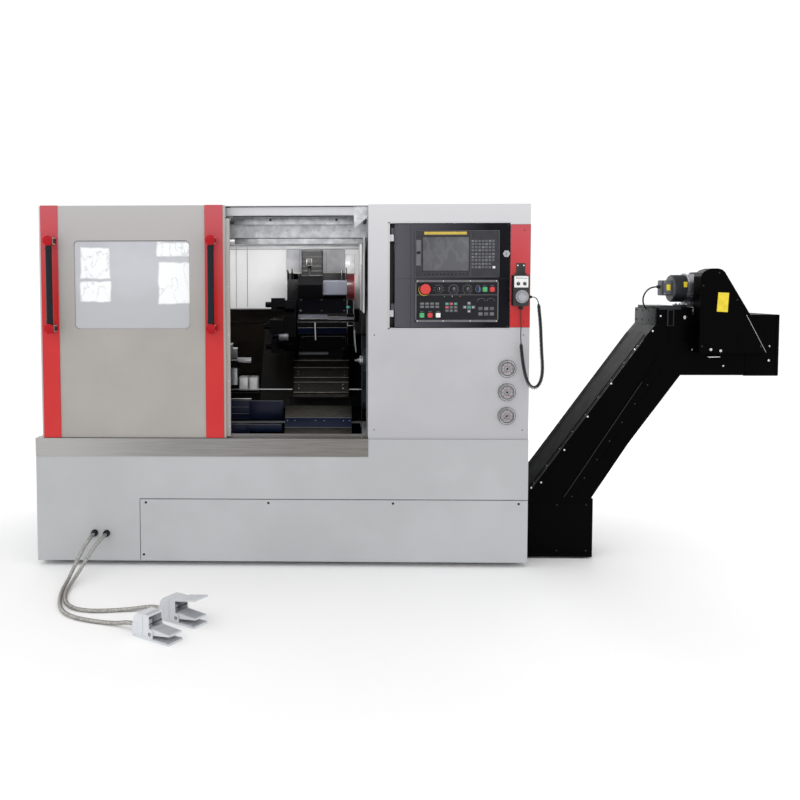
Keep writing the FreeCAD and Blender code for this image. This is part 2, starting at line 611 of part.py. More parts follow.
# ---- carriage, cross slide and turret ------------------------------------------------------
SADDLE_X1 = SADDLE_X + SADDLE_WIDTH
SADDLE_N0 = WAY_TOP + SLIDE_GAP
SADDLE_N1 = SADDLE_N0 + SADDLE_THICK
COVER_STEP = 6.0
COVER_EDGE = 12.0
SLIDE_X = (SADDLE_X + 30.0, SADDLE_X1 - 30.0)
SLIDE_U0 = 136.0
SLIDE_TOP = -110.0
BODY_X = (1283.0, SADDLE_X1 - 9.0)


def saddle():
    body = slab(SADDLE_X, SADDLE_X1, SADDLE_U0, SADDLE_U1, SADDLE_N0, SADDLE_N1)
    inner_low = WAY_LOW + WAY_WIDTH + SLIDE_GAP
    keeps = [slab(SADDLE_X, SADDLE_X1, inner_low, inner_low + 22, SADDLE_N0 - 28, SADDLE_N0),
             slab(SADDLE_X, SADDLE_X1, WAY_HIGH - SLIDE_GAP - 22, WAY_HIGH - SLIDE_GAP, SADDLE_N0 - 28, SADDLE_N0)]
    wing_x0 = SADDLE_X - CARRIAGE_TRAVEL - 12
    wing = slab(wing_x0, SADDLE_X, SADDLE_U0, SADDLE_U1, SADDLE_N0 + 6, SADDLE_N0 + 9)
    fixed = slab(SADDLE_X + COVER_EDGE, SADDLE_X1 - COVER_EDGE, SADDLE_U0 + 22, -45, SADDLE_N1, SADDLE_N1 + COVER_STEP)
    return body.fuse(keeps + [wing, fixed]).removeSplitter()


def x_cover():
    low = SADDLE_N1 + COVER_STEP + SLIDE_GAP
    step = slab(SADDLE_X + 6, SADDLE_X1 - 6, -92, 52, low, low + COVER_STEP)
    return step.fuse(slab(SADDLE_X + 6, SADDLE_X1 - 6, -20, 52, low + COVER_STEP, low + 9)).removeSplitter()


def cross_slide():
    low = SADDLE_N1 + SLIDE_GAP
    base = slab(*SLIDE_X, SLIDE_U0, SADDLE_U1 - 6, low, SLIDE_TOP)
    skirt_low = SADDLE_N1 + COVER_STEP + 9 + 2 * SLIDE_GAP
    skirt = slab(SADDLE_X, SADDLE_X1, 8, SLIDE_U0, skirt_low, skirt_low + COVER_STEP)
    ridge = slab(SADDLE_X, SADDLE_X1, 76, SLIDE_U0, skirt_low + COVER_STEP, skirt_low + 2 * COVER_STEP)
    upright = slab(BODY_X[0], 1425, 404, SADDLE_U1, SLIDE_TOP, 190)
    servo = rounded(box(1300, 1424, 800, 925, 1340, 1612), 8, (0, 0, 1))
    return base.fuse([skirt, ridge, upright, servo]).removeSplitter()


def on_disc(radius, x0, x1):
    y, z = slant(DISC_U, DISC_N)
    return rod(radius, (x0, y, z), (x1, y, z))


def turret_body():
    body = rounded(slab(*BODY_X, 165, 404, SLIDE_TOP, 100), 40, (1, 0, 0))
    return body.cut(on_disc(40 + SHAFT_GAP, BODY_X[0] - 1, BODY_X[0] + 60))


def turret_motor():
    frame = rounded(box(1425, 1563, 758, 852, 1348, 1436), 8, (1, 0, 0))
    return frame.fuse(rod(82, (1563, 805, 1392), (1606, 805, 1392))).removeSplitter()


def turret_disc():
    x1 = DISC_X + DISC_THICK
    y, z = slant(DISC_U, DISC_N)
    corners = []
    for k in range(STATIONS):
        turn = math.radians(45 + 360.0 / STATIONS * (k + 0.5))
        corners.append((y + DISC_RADIUS * math.cos(turn), z + DISC_RADIUS * math.sin(turn)))
    disc = plate(corners, "x", DISC_X, x1)
    disc = disc.fuse([on_disc(62, x1, BODY_X[0] - 2), on_disc(40, x1, BODY_X[0] + 40), on_disc(52, DISC_X - 10, DISC_X)])
    return disc.removeSplitter()


def tool_holders():
    flat = DISC_RADIUS * math.cos(math.pi / STATIONS)
    y, z = slant(DISC_U, DISC_N)
    holders = []
    for k in range(STATIONS):
        if k % 2:
            block = box(DISC_X - 78, DISC_X, -38, 38, flat - 62, flat + 14)
            block = block.fuse(rod(16, (DISC_X - 112, 0, flat - 24), (DISC_X - 78, 0, flat - 24)))
        else:
            block = box(DISC_X + 6, DISC_X + 60, -26, 26, flat, flat + 26)
            block = block.fuse(box(DISC_X - 40, DISC_X + 40, -10, 10, flat + 4, flat + 24))
        block.rotate(V(0, 0, 0), V(1, 0, 0), 360.0 / STATIONS * k - 45)
        block.translate(V(0, y, z))
        holders.append(block.removeSplitter())
    return holders


# ---- tailstock -----------------------------------------------------------------------------
def tailstock():
    x0, x1 = TAIL_X, TAIL_X + TAIL_LENGTH
    base = slab(x0, x1, SADDLE_U0, 330, SADDLE_N0, SADDLE_N0 + 60)
    inner_low = WAY_LOW + WAY_WIDTH + SLIDE_GAP
    keep = slab(x0, x1, inner_low, inner_low + 22, SADDLE_N0 - 28, SADDLE_N0)
    column = slab(x0, x1, -75, 75, SADDLE_N0 + 60, 0)
    barrel = on_spindle(62, x0, x1 + 40)
    bore = on_spindle(15 + SHAFT_GAP, x0 - 1, x0 + 80)
    return base.fuse([keep, column, barrel]).cut(bore).removeSplitter()


def live_centre():
    tip = Part.makeCone(0.4, 17, 30, V(1602, SPINDLE_Y, SPINDLE_Z), V(1, 0, 0))
    head = on_spindle(28, 1632, TAIL_X - 0.5)
    return tip.fuse([head, on_spindle(15, TAIL_X - 0.5, TAIL_X + 70)]).removeSplitter()


# ---- chip conveyor -------------------------------------------------------------------------
CONV_Y1 = CONV_Y0 + CONV_WIDTH
CONV_FOOT = 8.0
TOP_LINE = (2800.0, 777.0)
UNDER_LINE = (2996.0, 608.0)
HEAD = (3165.0, 3732.0, 948.0, 1285.0)
CHUTE_X = 3560.0
CHUTE_TOP = 1254.0
SHAFT_AT = (3530.0, 1125.0)
LID = 6.0
GUARD_WALL = 4.0
BELT_HALF = 62.0
BELT_LOW = 240.0
MOTOR_AT = (250.0, 1386.0)
GUARD_Y = (60.0, 148.0)


def rise_x(line, z):
    return line[0] + (z - line[1]) / CONV_RISE


def rise_z(line, x):
    return line[1] + (x - line[0]) * CONV_RISE


def conveyor_casing():
    x0, x1, z0, z1 = HEAD
    bottom = 312.0
    knee = rise_x(TOP_LINE, 1219)
    outline = [(WIDTH, CONV_FOOT), (2815, CONV_FOOT), (2815, bottom), (rise_x(UNDER_LINE, bottom), bottom),
               (rise_x(UNDER_LINE, z0), z0), (x1, z0), (x1, CHUTE_TOP), (3300, CHUTE_TOP), (3300, z1), (x0, z1),
               (x0, 1219), (knee + 14, 1216), (knee - 10, 1200), (knee - 40, rise_z(TOP_LINE, knee - 40)),
               (WIDTH, rise_z(TOP_LINE, WIDTH))]
    shell = plate(outline, "y", CONV_Y0, CONV_Y1)
    face = Part.Face(Part.makePolygon([V(a, CONV_Y0 + CONV_WALL, b) for a, b in outline + outline[:1]]))
    core = face.makeOffset2D(-CONV_WALL).extrude(V(0, CONV_WIDTH - 2 * CONV_WALL, 0))
    shell = shell.cut(core)
    shell = shell.cut(box(WIDTH - 1, WIDTH + 2 * CONV_WALL, CONV_Y0 + 20, CONV_Y1 - 20, 50, 270))
    shell = shell.cut(box(CHUTE_X + 10, x1 - 10, CONV_Y0 + 12, CONV_Y1 - 12, z0 - 1, z0 + 2 * CONV_WALL))
    for y in (CONV_Y0 - 1, CONV_Y1 - 2 * CONV_WALL):
        shell = shell.cut(rod(20 + SHAFT_GAP, (SHAFT_AT[0], y, SHAFT_AT[1]), (SHAFT_AT[0], y + 11, SHAFT_AT[1])))
    for x in (2500, 2765):
        for y in (CONV_Y0 + 40, CONV_Y1 - 40):
            shell = shell.fuse(rod(20, (x, y, 0), (x, y, CONV_FOOT + 1)))
    lid = box(x0 - 15, 3300, CONV_Y0 - 3, CONV_Y1 + 3, z1, z1 + LID)
    return shell.fuse(lid).removeSplitter()


def chain_guard():
    """Closed cover over the chain that drives the head shaft, on two feet."""
    low, high = 1068.0, 1430.0
    outline = [(3300, low), (3661, low), (3426, high + 22), (3418, high + 36), (3404, high + 49), (3384, high + 55),
               (3352, high + 55), (3328, high + 48), (3308, high + 34), (3300, high + 16)]
    front, back = GUARD_Y
    shell = plate(outline, "y", front, back)
    face = Part.Face(Part.makePolygon([V(a, front + GUARD_WALL, b) for a, b in outline + outline[:1]]))
    shell = shell.cut(face.makeOffset2D(-GUARD_WALL).extrude(V(0, back - front - 2 * GUARD_WALL, 0)))
    feet = [box(x - 14, x + 14, back, CONV_Y0, 1190, 1240) for x in (3320, 3440)]
    hole = rod(24, (SHAFT_AT[0], back - GUARD_WALL - 1, SHAFT_AT[1]), (SHAFT_AT[0], back + 1, SHAFT_AT[1]))
    return shell.fuse(feet).cut(hole).removeSplitter()


def conveyor_motor():
    top = HEAD[3] + LID
    y, z = MOTOR_AT
    body = rod(65, (3217, y, z), (3285, y, z))
    terminal = rounded(box(3171, 3229, y - 36, y + 36, 1350, 1428), 5, (1, 0, 0))
    casting = rod(72, (3285, y, z), (3345, y, z))
    neck = box(3290, 3340, y - 30, y + 30, top, 1330)
    foot = box(3255, 3345, y - 55, y + 55, top, top + 12)
    gearbox = rounded(box(3345, 3425, y - 70, y + 70, 1376, 1470), 12, (1, 0, 0))
    hub = rod(36, (3375, y - 70, 1430), (3375, GUARD_Y[1], 1430))
    drive = body.fuse([terminal, casting, neck, foot, gearbox, hub]).removeSplitter()
    route = [(3171, 250, 1395), (3146, 250, 1395), (3120, 252, 1389), (3100, 257, 1371), (3090, 264, 1346),
             (3090, 272, 1319), (3101, 281, 1295), (3117, 290, 1274), (3138, 298, 1260), (3165, 299, 1260)]
    return [drive, tube(route, 8, "conveyor_cable")]


def head_shaft():
    x, z = SHAFT_AT
    body = rod(20, (x, CONV_Y0 - 62, z), (x, CONV_Y1 - 8, z))
    for y in (CONV_Y0 + 66, CONV_Y1 - 86):
        body = body.fuse(rod(BELT_HALF - 8 - SLIDE_GAP, (x, y, z), (x, y + 20, z)))
    return body.fuse(rod(45, (x, CONV_Y0 - 50, z), (x, CONV_Y0 - 38, z))).removeSplitter()


def conveyor_belt():
    """Both strands of the hinged steel belt, closed round the head and the tail."""
    middle = (UNDER_LINE[1] - CONV_RISE * UNDER_LINE[0] + TOP_LINE[1] - CONV_RISE * TOP_LINE[0]) / 2
    line = [V((z - middle) / CONV_RISE, CONV_Y0 + 60, z) for z in (BELT_LOW, SHAFT_AT[1])]
    wire = Part.makePolygon(line + [V(SHAFT_AT[0], CONV_Y0 + 60, SHAFT_AT[1])])
    outer = Part.Face(wire.makeOffset2D(BELT_HALF))
    inner = Part.Face(wire.makeOffset2D(BELT_HALF - 8))
    return outer.cut(inner).extrude(V(0, CONV_WIDTH - 120, 0))


# ---- foot switches -------------------------------------------------------------------------
TREADLE_PIVOT = (98.0, 26.0)
HOOD_HEIGHT = 98.0
CHEEK = 5.0


def place_pedal(shape, number):
    shape.rotate(V(0, 0, 0), V(0, 0, 1), PEDAL_ANGLE)
    x, y = PEDAL_AT[number]
    shape.translate(V(x, y, 0))
    return shape


def pedal_body(number):
    half = PEDAL_WIDTH / 2
    sole = rounded(box(0, PEDAL_LENGTH, -half, half, 0, 8), 6, (0, 0, 1))
    profile = [(2, 8), (112, 8), (112, 40), (92, 46), (90, HOOD_HEIGHT), (28, HOOD_HEIGHT), (10, 80), (2, 50)]
    hood = plate(profile, "y", -half + 1, half - 1)
    inside = [(8, 8), (120, 8), (120, HOOD_HEIGHT - CHEEK), (32, HOOD_HEIGHT - CHEEK), (16, 76), (8, 48)]
    hood = hood.cut(plate(inside, "y", -half + 1 + CHEEK, half - 1 - CHEEK))
    hood = hood.fuse(box(20, 52, -22, 22, 8, 60))
    x, z = TREADLE_PIVOT
    hood = hood.cut(rod(4 + SHAFT_GAP, (x, -half - 1, z), (x, half + 1, z)))
    body = sole.fuse([hood, rod(11, (-20, 0, 30), (3, 0, 30))])
    if number == 1:
        visor = plate([(60, 92), (90, HOOD_HEIGHT), (150, 112), (206, 122), (206, 119), (150, 108), (90, 93), (60, 88)],
                      "y", -half + 2, half - 2)
        body = body.fuse(visor)
    return place_pedal(body.removeSplitter(), number)


def treadle(number):
    half = PEDAL_WIDTH / 2 - 1 - CHEEK - 0.6
    x, z = TREADLE_PIVOT
    tongue = plate([(60, 30), (106, 22), (196, 34), (198, 40), (104, 46), (60, 36)], "y", -half, half)
    pin = rod(4, (x, -PEDAL_WIDTH / 2 + 1, z), (x, PEDAL_WIDTH / 2 - 1, z))
    return place_pedal(tongue.fuse(pin).removeSplitter(), number)


# ---- build ---------------------------------------------------------------------------------
def cord(route, diameter, label):
    shape = tube(route, diameter, label)
    shape.translate(V(ORIGIN_X, ORIGIN_Y, 0))
    return shape


def main():
    os.makedirs("parts", exist_ok=True)
    save("base_frame", base_frame())
    save("levelling_feet", *levelling_feet())
    save("access_panels", *access_panels())
    save("ledge_strip", ledge_strip())
    save("bed_casting", bed_casting())
    save("headstock", headstock())
    save("drive_motors", *drive_motors())
    save("belts", spindle_belt(), conveyor_belt())
    save("enclosure_shell", *enclosure_shell())
    save("front_cabinet", front_cabinet())
    save("chamber_liner", *chamber_liner())
    save("header_beam", *header_beam())
    save("door_panel", door_panel())
    save("door_trims", *door_trims())
    save("door_window", door_window())
    save("door_handles", *door_handles())
    save("control_door", control_door())
    save("screen_unit", screen_unit())
    save("operator_panel", operator_panel())
    save("control_latch", control_latch())
    save("estop_button", estop_button())
    save("key_switch", key_switch())
    for name, spot in KNOBS.items():
        save(name, rotary_knob(*spot))
    for name, spot in BUTTONS.items():
        save(name, push_button(*spot))
    save("pressure_gauges", *pressure_gauges())
    save("cable_glands", *cable_glands())
    save("pendant_body", pendant_body())
    save("pendant_dial", pendant_dial())
    save("pendant_lead", cord(LEAD_TOP, CORD_DIAMETER, "lead_top"), cord(LEAD_BACK, CORD_DIAMETER, "lead_back"))
    save("pendant_coil", cord(COIL_ROUTE, COIL_DIAMETER, "coil"))
    save("conduit_front", cord(CONDUIT_FRONT, CONDUIT_DIAMETER, "conduit_front"))
    save("conduit_rear", cord(CONDUIT_REAR, CONDUIT_DIAMETER, "conduit_rear"))
    save("spindle", spindle())
    save("chuck_body", chuck_body())
    save("work_bar", on_spindle(BAR_RADIUS, CHUCK_FRONT + 1, CHUCK_FRONT + BAR_STICKOUT))
    for number in range(JAW_COUNT):
        save("chuck_jaw_%d" % (number + 1), jaw(number))
    save("motor_pulley", motor_pulley())
    save("saddle", saddle())
    save("x_cover", x_cover())
    save("cross_slide", cross_slide())
    save("turret_body", turret_body())
    save("turret_motor", turret_motor())
    save("turret_disc", turret_disc())
    save("tool_holders", *tool_holders())
    save("tailstock", tailstock())
    save("live_centre", live_centre())
    save("conveyor_casing", conveyor_casing(), chain_guard())
    save("conveyor_motor", *conveyor_motor())
    save("head_shaft", head_shaft())
    save("pedal_bodies", pedal_body(0), pedal_body(1))
    save("treadle_front", treadle(0))
    save("treadle_rear", treadle(1))


main()
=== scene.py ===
"""Looks of a CNC turning lathe: sheet metal, glass, controls, cords and the machinery inside."""
import math

import bmesh
import bpy
from mathutils import Matrix, Vector


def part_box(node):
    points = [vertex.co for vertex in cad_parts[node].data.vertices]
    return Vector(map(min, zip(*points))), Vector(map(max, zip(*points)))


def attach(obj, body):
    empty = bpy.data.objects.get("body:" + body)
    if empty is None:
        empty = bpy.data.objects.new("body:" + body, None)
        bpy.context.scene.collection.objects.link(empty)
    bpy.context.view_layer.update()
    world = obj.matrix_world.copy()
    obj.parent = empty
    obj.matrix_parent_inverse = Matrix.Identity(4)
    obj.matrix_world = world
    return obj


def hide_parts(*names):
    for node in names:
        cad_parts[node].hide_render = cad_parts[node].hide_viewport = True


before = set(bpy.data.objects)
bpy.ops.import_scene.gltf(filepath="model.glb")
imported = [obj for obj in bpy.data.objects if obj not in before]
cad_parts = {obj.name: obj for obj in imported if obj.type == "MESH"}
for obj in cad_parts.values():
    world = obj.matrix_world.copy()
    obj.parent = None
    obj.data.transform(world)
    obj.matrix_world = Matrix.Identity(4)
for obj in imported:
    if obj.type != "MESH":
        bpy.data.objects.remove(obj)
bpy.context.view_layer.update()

OX, OY = 1866.0, 234.0     # the frame's origin in the machine's own measure, mm
RISE = 1.376               # slope of the chip conveyor
rad = math.radians


def polar(u, w, radius, degrees):
    """A point of a circle about (u, w)."""
    return u + radius * math.cos(rad(degrees)), w + radius * math.sin(rad(degrees))


def P(x, y, z):
    """A point of the machine's measure (mm) in the frame (m)."""
    return Vector(((x - OX) / 1000.0, (y - OY) / 1000.0, z / 1000.0))


# ---- materials -----------------------------------------------------------------------------
class Mat:
    """A node material made step by step."""

    def __init__(self, name, rough=0.5, metal=0.0, **sockets):
        self.m = bpy.data.materials.new(name)
        self.m.use_nodes = True
        self.t = self.m.node_tree
        self.s = self.t.nodes["Principled BSDF"]
        self.set(Roughness=rough, Metallic=metal, **sockets)
        self.where = self.new("ShaderNodeTexCoord").outputs["Object"]

    def set(self, **sockets):
        for key, value in sockets.items():
            self.s.inputs[key.replace("_", " ")].default_value = value

    def new(self, kind, **fields):
        node = self.t.nodes.new(kind)
        for key, value in fields.items():
            setattr(node, key, value)
        return node

    def link(self, a, b):
        self.t.links.new(a, b)

    def noise(self, scale, detail=3.0, stretch=(1, 1, 1)):
        m = self.new("ShaderNodeMapping")
        m.inputs["Scale"].default_value = stretch
        self.link(self.where, m.inputs["Vector"])
        n = self.new("ShaderNodeTexNoise")
        n.inputs["Scale"].default_value = scale
        n.inputs["Detail"].default_value = detail
        self.link(m.outputs["Vector"], n.inputs["Vector"])
        return n.outputs["Fac"]

    def ramp(self, fac, stops):
        r = self.new("ShaderNodeValToRGB")
        r.color_ramp.interpolation = "EASE"
        e = r.color_ramp.elements
        while len(e) < len(stops):
            e.new(0.5)
        for k, (at, c) in enumerate(stops):
            e[k].position = at
            c = (c, c, c) if isinstance(c, (int, float)) else c
            e[k].color = (*c, 1)
        self.link(fac, r.inputs["Fac"])
        return r.outputs["Color"]

    def cloud(self, scale, detail, low=0.0, high=1.0, stretch=(1, 1, 1)):
        """A noise spread over the whole way from low to high."""
        return self.ramp(self.noise(scale, detail, stretch), ((0.3, low), (0.7, high)))

    def mix(self, fac, a, b, mode="MIX"):
        n = self.new("ShaderNodeMix", data_type="RGBA", blend_type=mode)
        for value, k in ((fac, 0), (a, 6), (b, 7)):
            if isinstance(value, bpy.types.NodeSocket):
                self.link(value, n.inputs[k])
            elif k == 0:
                n.inputs[0].default_value = value
            else:
                n.inputs[k].default_value = (*value, 1)
        return n.outputs[2]

    def axis(self, k, low, high):
        """0 to 1 as an object coordinate goes from low to high, metres."""
        return self.between(self.coordinate(k), low, high)

    def coordinate(self, k):
        sep = self.new("ShaderNodeSeparateXYZ")
        self.link(self.where, sep.inputs[0])
        return sep.outputs[k]

    def between(self, value, low, high):
        m = self.new("ShaderNodeMapRange")
        m.inputs["From Min"].default_value = low
        m.inputs["From Max"].default_value = high
        self.link(value, m.inputs["Value"])
        return m.outputs["Result"]

    def step(self, k, at, soft=0.0005):
        return self.axis(k, at - soft, at + soft)

    def both(self, a, b, op="MULTIPLY"):
        n = self.new("ShaderNodeMath", operation=op)
        for value, i in ((a, 0), (b, 1)):
            if isinstance(value, bpy.types.NodeSocket):
                self.link(value, n.inputs[i])
            else:
                n.inputs[i].default_value = value
        return n.outputs[0]

    def colour(self, socket):
        self.link(socket, self.s.inputs["Base Color"])

    def rough(self, fac, low, high):
        m = self.new("ShaderNodeMapRange")
        m.inputs["To Min"].default_value = low
        m.inputs["To Max"].default_value = high
        self.link(fac, m.inputs["Value"])
        self.link(m.outputs["Result"], self.s.inputs["Roughness"])

    def bump(self, fac, strength=0.1, distance=0.001):
        b = self.new("ShaderNodeBump")
        b.inputs["Strength"].default_value = strength
        b.inputs["Distance"].default_value = distance
        self.link(fac, b.inputs["Height"])
        self.link(b.outputs["Normal"], self.s.inputs["Normal"])

    def finish(self, grain, low, high, pores=None, strength=0.1, distance=0.0006):
        """Roughness from one noise and bump from another, each given as noise() takes it."""
        self.rough(self.noise(*grain), low, high)
        if pores:
            self.bump(self.noise(*pores), strength, distance)
        return self.m


def shade(c, k):
    return tuple(min(1.0, v * k) for v in c)


def paint(name, c, rough=0.42, peel=0.06, painted_light=None, dirt=0.05, grain=900.0):
    """Powder coat: orange peel, faint cloudiness, and an optional painted light: a blend along one axis toward another
    tone, for a top painted paler or a side painted darker.
    """
    m = Mat(name, rough)
    cloud = m.noise(2.2, 4)
    out = m.mix(m.ramp(cloud, ((0.35, 0.0), (0.7, 1.0))), shade(c, 1 - dirt), shade(c, 1 + dirt))
    # painted light: blends the coat toward another tone along one axis
    if painted_light:
        k, low, high, top = painted_light
        out = m.mix(m.axis(k, low, high), out, top)
    speck = m.ramp(m.noise(grain * 0.6, 2), ((0.62, 0.0), (0.72, 1.0)))
    out = m.mix(m.both(speck, 0.16), out, shade(c, 0.72))
    m.colour(out)
    return m.finish((14.0, 3), rough - 0.07, rough + 0.09, (grain, 2), peel, 0.0006)


def metal(name, c, rough=0.28, along=(1, 1, 1), scale=60.0, depth=0.12, var=0.14):
    """Ground, brushed or rolled metal, streaked along the axis with the small number."""
    m = Mat(name, rough, 1.0)
    streak = m.noise(scale, 5, along)
    m.colour(m.mix(m.ramp(streak, ((0.3, 0.0), (0.7, 1.0))), shade(c, 1 - var), shade(c, 1 + var)))
    m.rough(m.noise(scale * 2.1, 4, along), rough - 0.1, rough + 0.14)
    m.bump(streak, depth, 0.0004)
    return m.m


def plastic(name, c, rough=0.45, grain=1400.0, depth=0.12, coat=0.0):
    m = Mat(name, rough, Coat_Weight=coat)
    m.colour(m.mix(m.cloud(30, 3), shade(c, 0.9), shade(c, 1.1)))
    return m.finish((60, 2), rough - 0.06, rough + 0.08, (grain, 2), depth, 0.0004)


def dull(m, level):
    """Turns down the mirror part of a material that sits in shade or is matt black."""
    m.node_tree.nodes["Principled BSDF"].inputs["Specular IOR Level"].default_value = level
    return m


# painted light: the cream coat turns paler toward the top
CREAM = paint("cream_coat", (0.465, 0.465, 0.485), 0.4, painted_light=(2, 1.05, 1.8, (0.63, 0.63, 0.65)))
BASE = paint("base_coat", (0.455, 0.468, 0.48), 0.42)
# painted light: the door coat turns paler toward the top
DOOR = paint("door_coat", (0.370, 0.348, 0.325), 0.36, painted_light=(2, 1.2, 1.8, (0.455, 0.440, 0.440)))
BLACK = dull(paint("black_coat", (0.0010, 0.0010, 0.0011), 0.42, 0.1, dirt=0.2), 0.03)
# painted light and shade: the charcoal coat fades from lighter at the left edge to near black at the right
CHAR = dull(paint("charcoal_coat", (0.086, 0.084, 0.100), 0.4, 0.12, painted_light=(0, -0.05, 0.38, (0.004, 0.004, 0.007))), 0.1)
PANEL = dull(plastic("panel_grey", (0.034, 0.034, 0.041), 0.5), 0.3)
PANEL2 = dull(plastic("panel_dark", (0.012, 0.012, 0.016), 0.5), 0.2)
RIM = plastic("rim_grey", (0.13, 0.13, 0.14), 0.45)
DARK = dull(plastic("black_moulded", (0.006, 0.006, 0.007), 0.36), 0.3)
SEAL = plastic("rubber_seal", (0.018, 0.018, 0.018), 0.7, 700)
GREY_KEY = plastic("grey_key", (0.075, 0.077, 0.085), 0.5)
LEGEND = plastic("legend_white", (0.66, 0.67, 0.68), 0.5)
LEGEND_DIM = plastic("legend_grey", (0.24, 0.24, 0.26), 0.5)
CHROME = metal("chrome", (0.42, 0.42, 0.44), 0.14, scale=90, depth=0.02, var=0.05)
STEEL = metal("ground_steel", (0.60, 0.60, 0.62), 0.3, (1, 22, 22), 40)
STEEL_ROUND = metal("turned_steel", (0.62, 0.62, 0.64), 0.26, (60, 1, 1), 30)
ZINC = metal("galvanised", (0.60, 0.61, 0.63), 0.42, scale=26, depth=0.05, var=0.2)
SCREW = metal("screw_zinc", (0.72, 0.72, 0.74), 0.24, scale=200, depth=0.05)
SCREW_DARK = metal("screw_black", (0.06, 0.06, 0.065), 0.4, scale=200, depth=0.05)


def red_coat():
    m = Mat("red_coat", 0.34, Coat_Weight=0.1, Specular_IOR_Level=0.3)
    cloud = m.noise(3.0, 3)
    low = m.mix(m.ramp(cloud, ((0.35, 0.0), (0.7, 1.0))), (0.54, 0.018, 0.019), (0.60, 0.024, 0.025))
    # painted light: the red turns paler and pinker toward the top
    top = m.axis(2, 1.35, 1.80)
    m.colour(m.mix(top, low, (0.52, 0.085, 0.105)))
    return m.finish((12, 3), 0.24, 0.38, (1100, 2), 0.05, 0.0005)


def ledge_metal():
    """Stainless strip: rolled along its length, with a painted reflection that is lighter at the left and darker toward
    the right.
    """
    m = Mat("ledge_stainless", 0.34, 0.75)
    streak = m.noise(9, 5, (0.6, 6, 30))
    # painted reflection: the tone falls from light at the left to dark at the right
    tone = m.ramp(m.axis(0, -1.8, -0.3), ((0.0, (0.40, 0.395, 0.385)), (0.5, (0.235, 0.225, 0.225)),
                                          (1.0, (0.165, 0.155, 0.142))))
    tone = m.mix(m.ramp(streak, ((0.3, 0.0), (0.75, 0.22))), tone, (0.50, 0.49, 0.48))
    m.colour(tone)
    m.rough(m.noise(16, 4, (1, 8, 8)), 0.24, 0.5)
    m.bump(streak, 0.08, 0.0004)
    return m.m


def window_film():
    """Laminated window behind its protective film: cloudy grey with painted shade toward the bottom, four pale patches
    painted as reflections of bright windows with thin dark branches reflected in them, and a few creases.
    """
    m = Mat("window_laminate", 0.16, Coat_Weight=0.3)
    sway = m.both(m.both(m.noise(9, 4), 0.5, "SUBTRACT"), 0.030)

    def edge(k, at, way):
        return m.between(m.both(m.coordinate(k), sway, "ADD"), at - 0.004 * way, at + 0.004 * way)

    def reflection_patch(x0, x1, z0, z1):
        lo, hi = P(x0, 0, z0), P(x1, 0, z1)
        return m.both(m.both(edge(0, lo.x, 1), edge(0, hi.x, -1)), m.both(edge(2, lo.z, 1), edge(2, hi.z, -1)))

    cloud = m.ramp(m.noise(3.1, 4, (1, 1, 1.4)), ((0.35, 0.0), (0.65, 1.0)))
    base = m.mix(cloud, (0.47, 0.475, 0.505), (0.53, 0.535, 0.57))
    # painted shade: darker toward the bottom
    base = m.mix(m.both(m.axis(2, 1.42, 1.20), 0.5), base, (0.42, 0.43, 0.45))
    # painted reflection: four pale patches with soft wavy edges
    pale = reflection_patch(236, 384, 1326, 1424)
    for sides in ((236, 384, 1440, 1592), (616, 784, 1549, 1616), (625, 784, 1316, 1518)):
        pale = m.both(pale, reflection_patch(*sides), "ADD")
    base = m.mix(m.both(pale, 0.94), base, (0.93, 0.95, 0.96))
    # painted reflection: thin dark branches inside the pale patches
    reflected_branches = m.ramp(m.noise(13, 5, (1, 1, 0.5)), ((0.50, 0.0), (0.515, 1.0), (0.53, 0.0)))
    base = m.mix(m.both(m.both(reflected_branches, pale), 0.34), base, (0.22, 0.23, 0.25))
    m.colour(base)
    return m.finish((7, 4), 0.10, 0.26, (5, 4), 0.05, 0.002)


def liner_coat():
    """Chamber sheet metal: pale above the step of the rear wall; below it painted shade, tinted blue low down and brown
    higher up as painted reflections.
    """
    m = Mat("liner_sheet", 0.4, Specular_IOR_Level=0.03)
    # painted reflections in the dark lower wall: brown from the floor, blue from the sky
    brown_reflection = m.cloud(5, 5, (0.0015, 0.001, 0.0008), (0.008, 0.006, 0.004))
    blue_reflection = m.cloud(4, 4, (0.0012, 0.002, 0.005), (0.003, 0.005, 0.012))
    pale = m.cloud(2.5, 4, (0.70, 0.70, 0.70), (0.80, 0.80, 0.80))
    low = m.mix(m.step(2, 0.74, 0.03), blue_reflection, brown_reflection)
    m.colour(m.mix(m.step(2, 1.262, 0.004), low, pale))
    return m.finish((9, 4), 0.25, 0.5, (500, 2), 0.06, 0.0006)


def screen_face():
    m = Mat("screen_glass", 0.2, Coat_Weight=0.2, Specular_IOR_Level=0.3)
    # painted reflection: the glass lighter toward the right and toward the bottom
    base = m.mix(m.axis(0, 0.05, 0.28), (0.064, 0.064, 0.072), (0.110, 0.114, 0.126))
    base = m.mix(m.axis(2, 1.66, 1.46), base, (0.10, 0.10, 0.108))
    film = m.ramp(m.noise(13, 5, (1, 1, 0.6)), ((0.44, 0.0), (0.52, 1.0), (0.6, 0.0)))
    m.colour(m.mix(m.both(film, 0.07), base, (0.42, 0.43, 0.45)))
    return m.finish((9, 3), 0.08, 0.26)


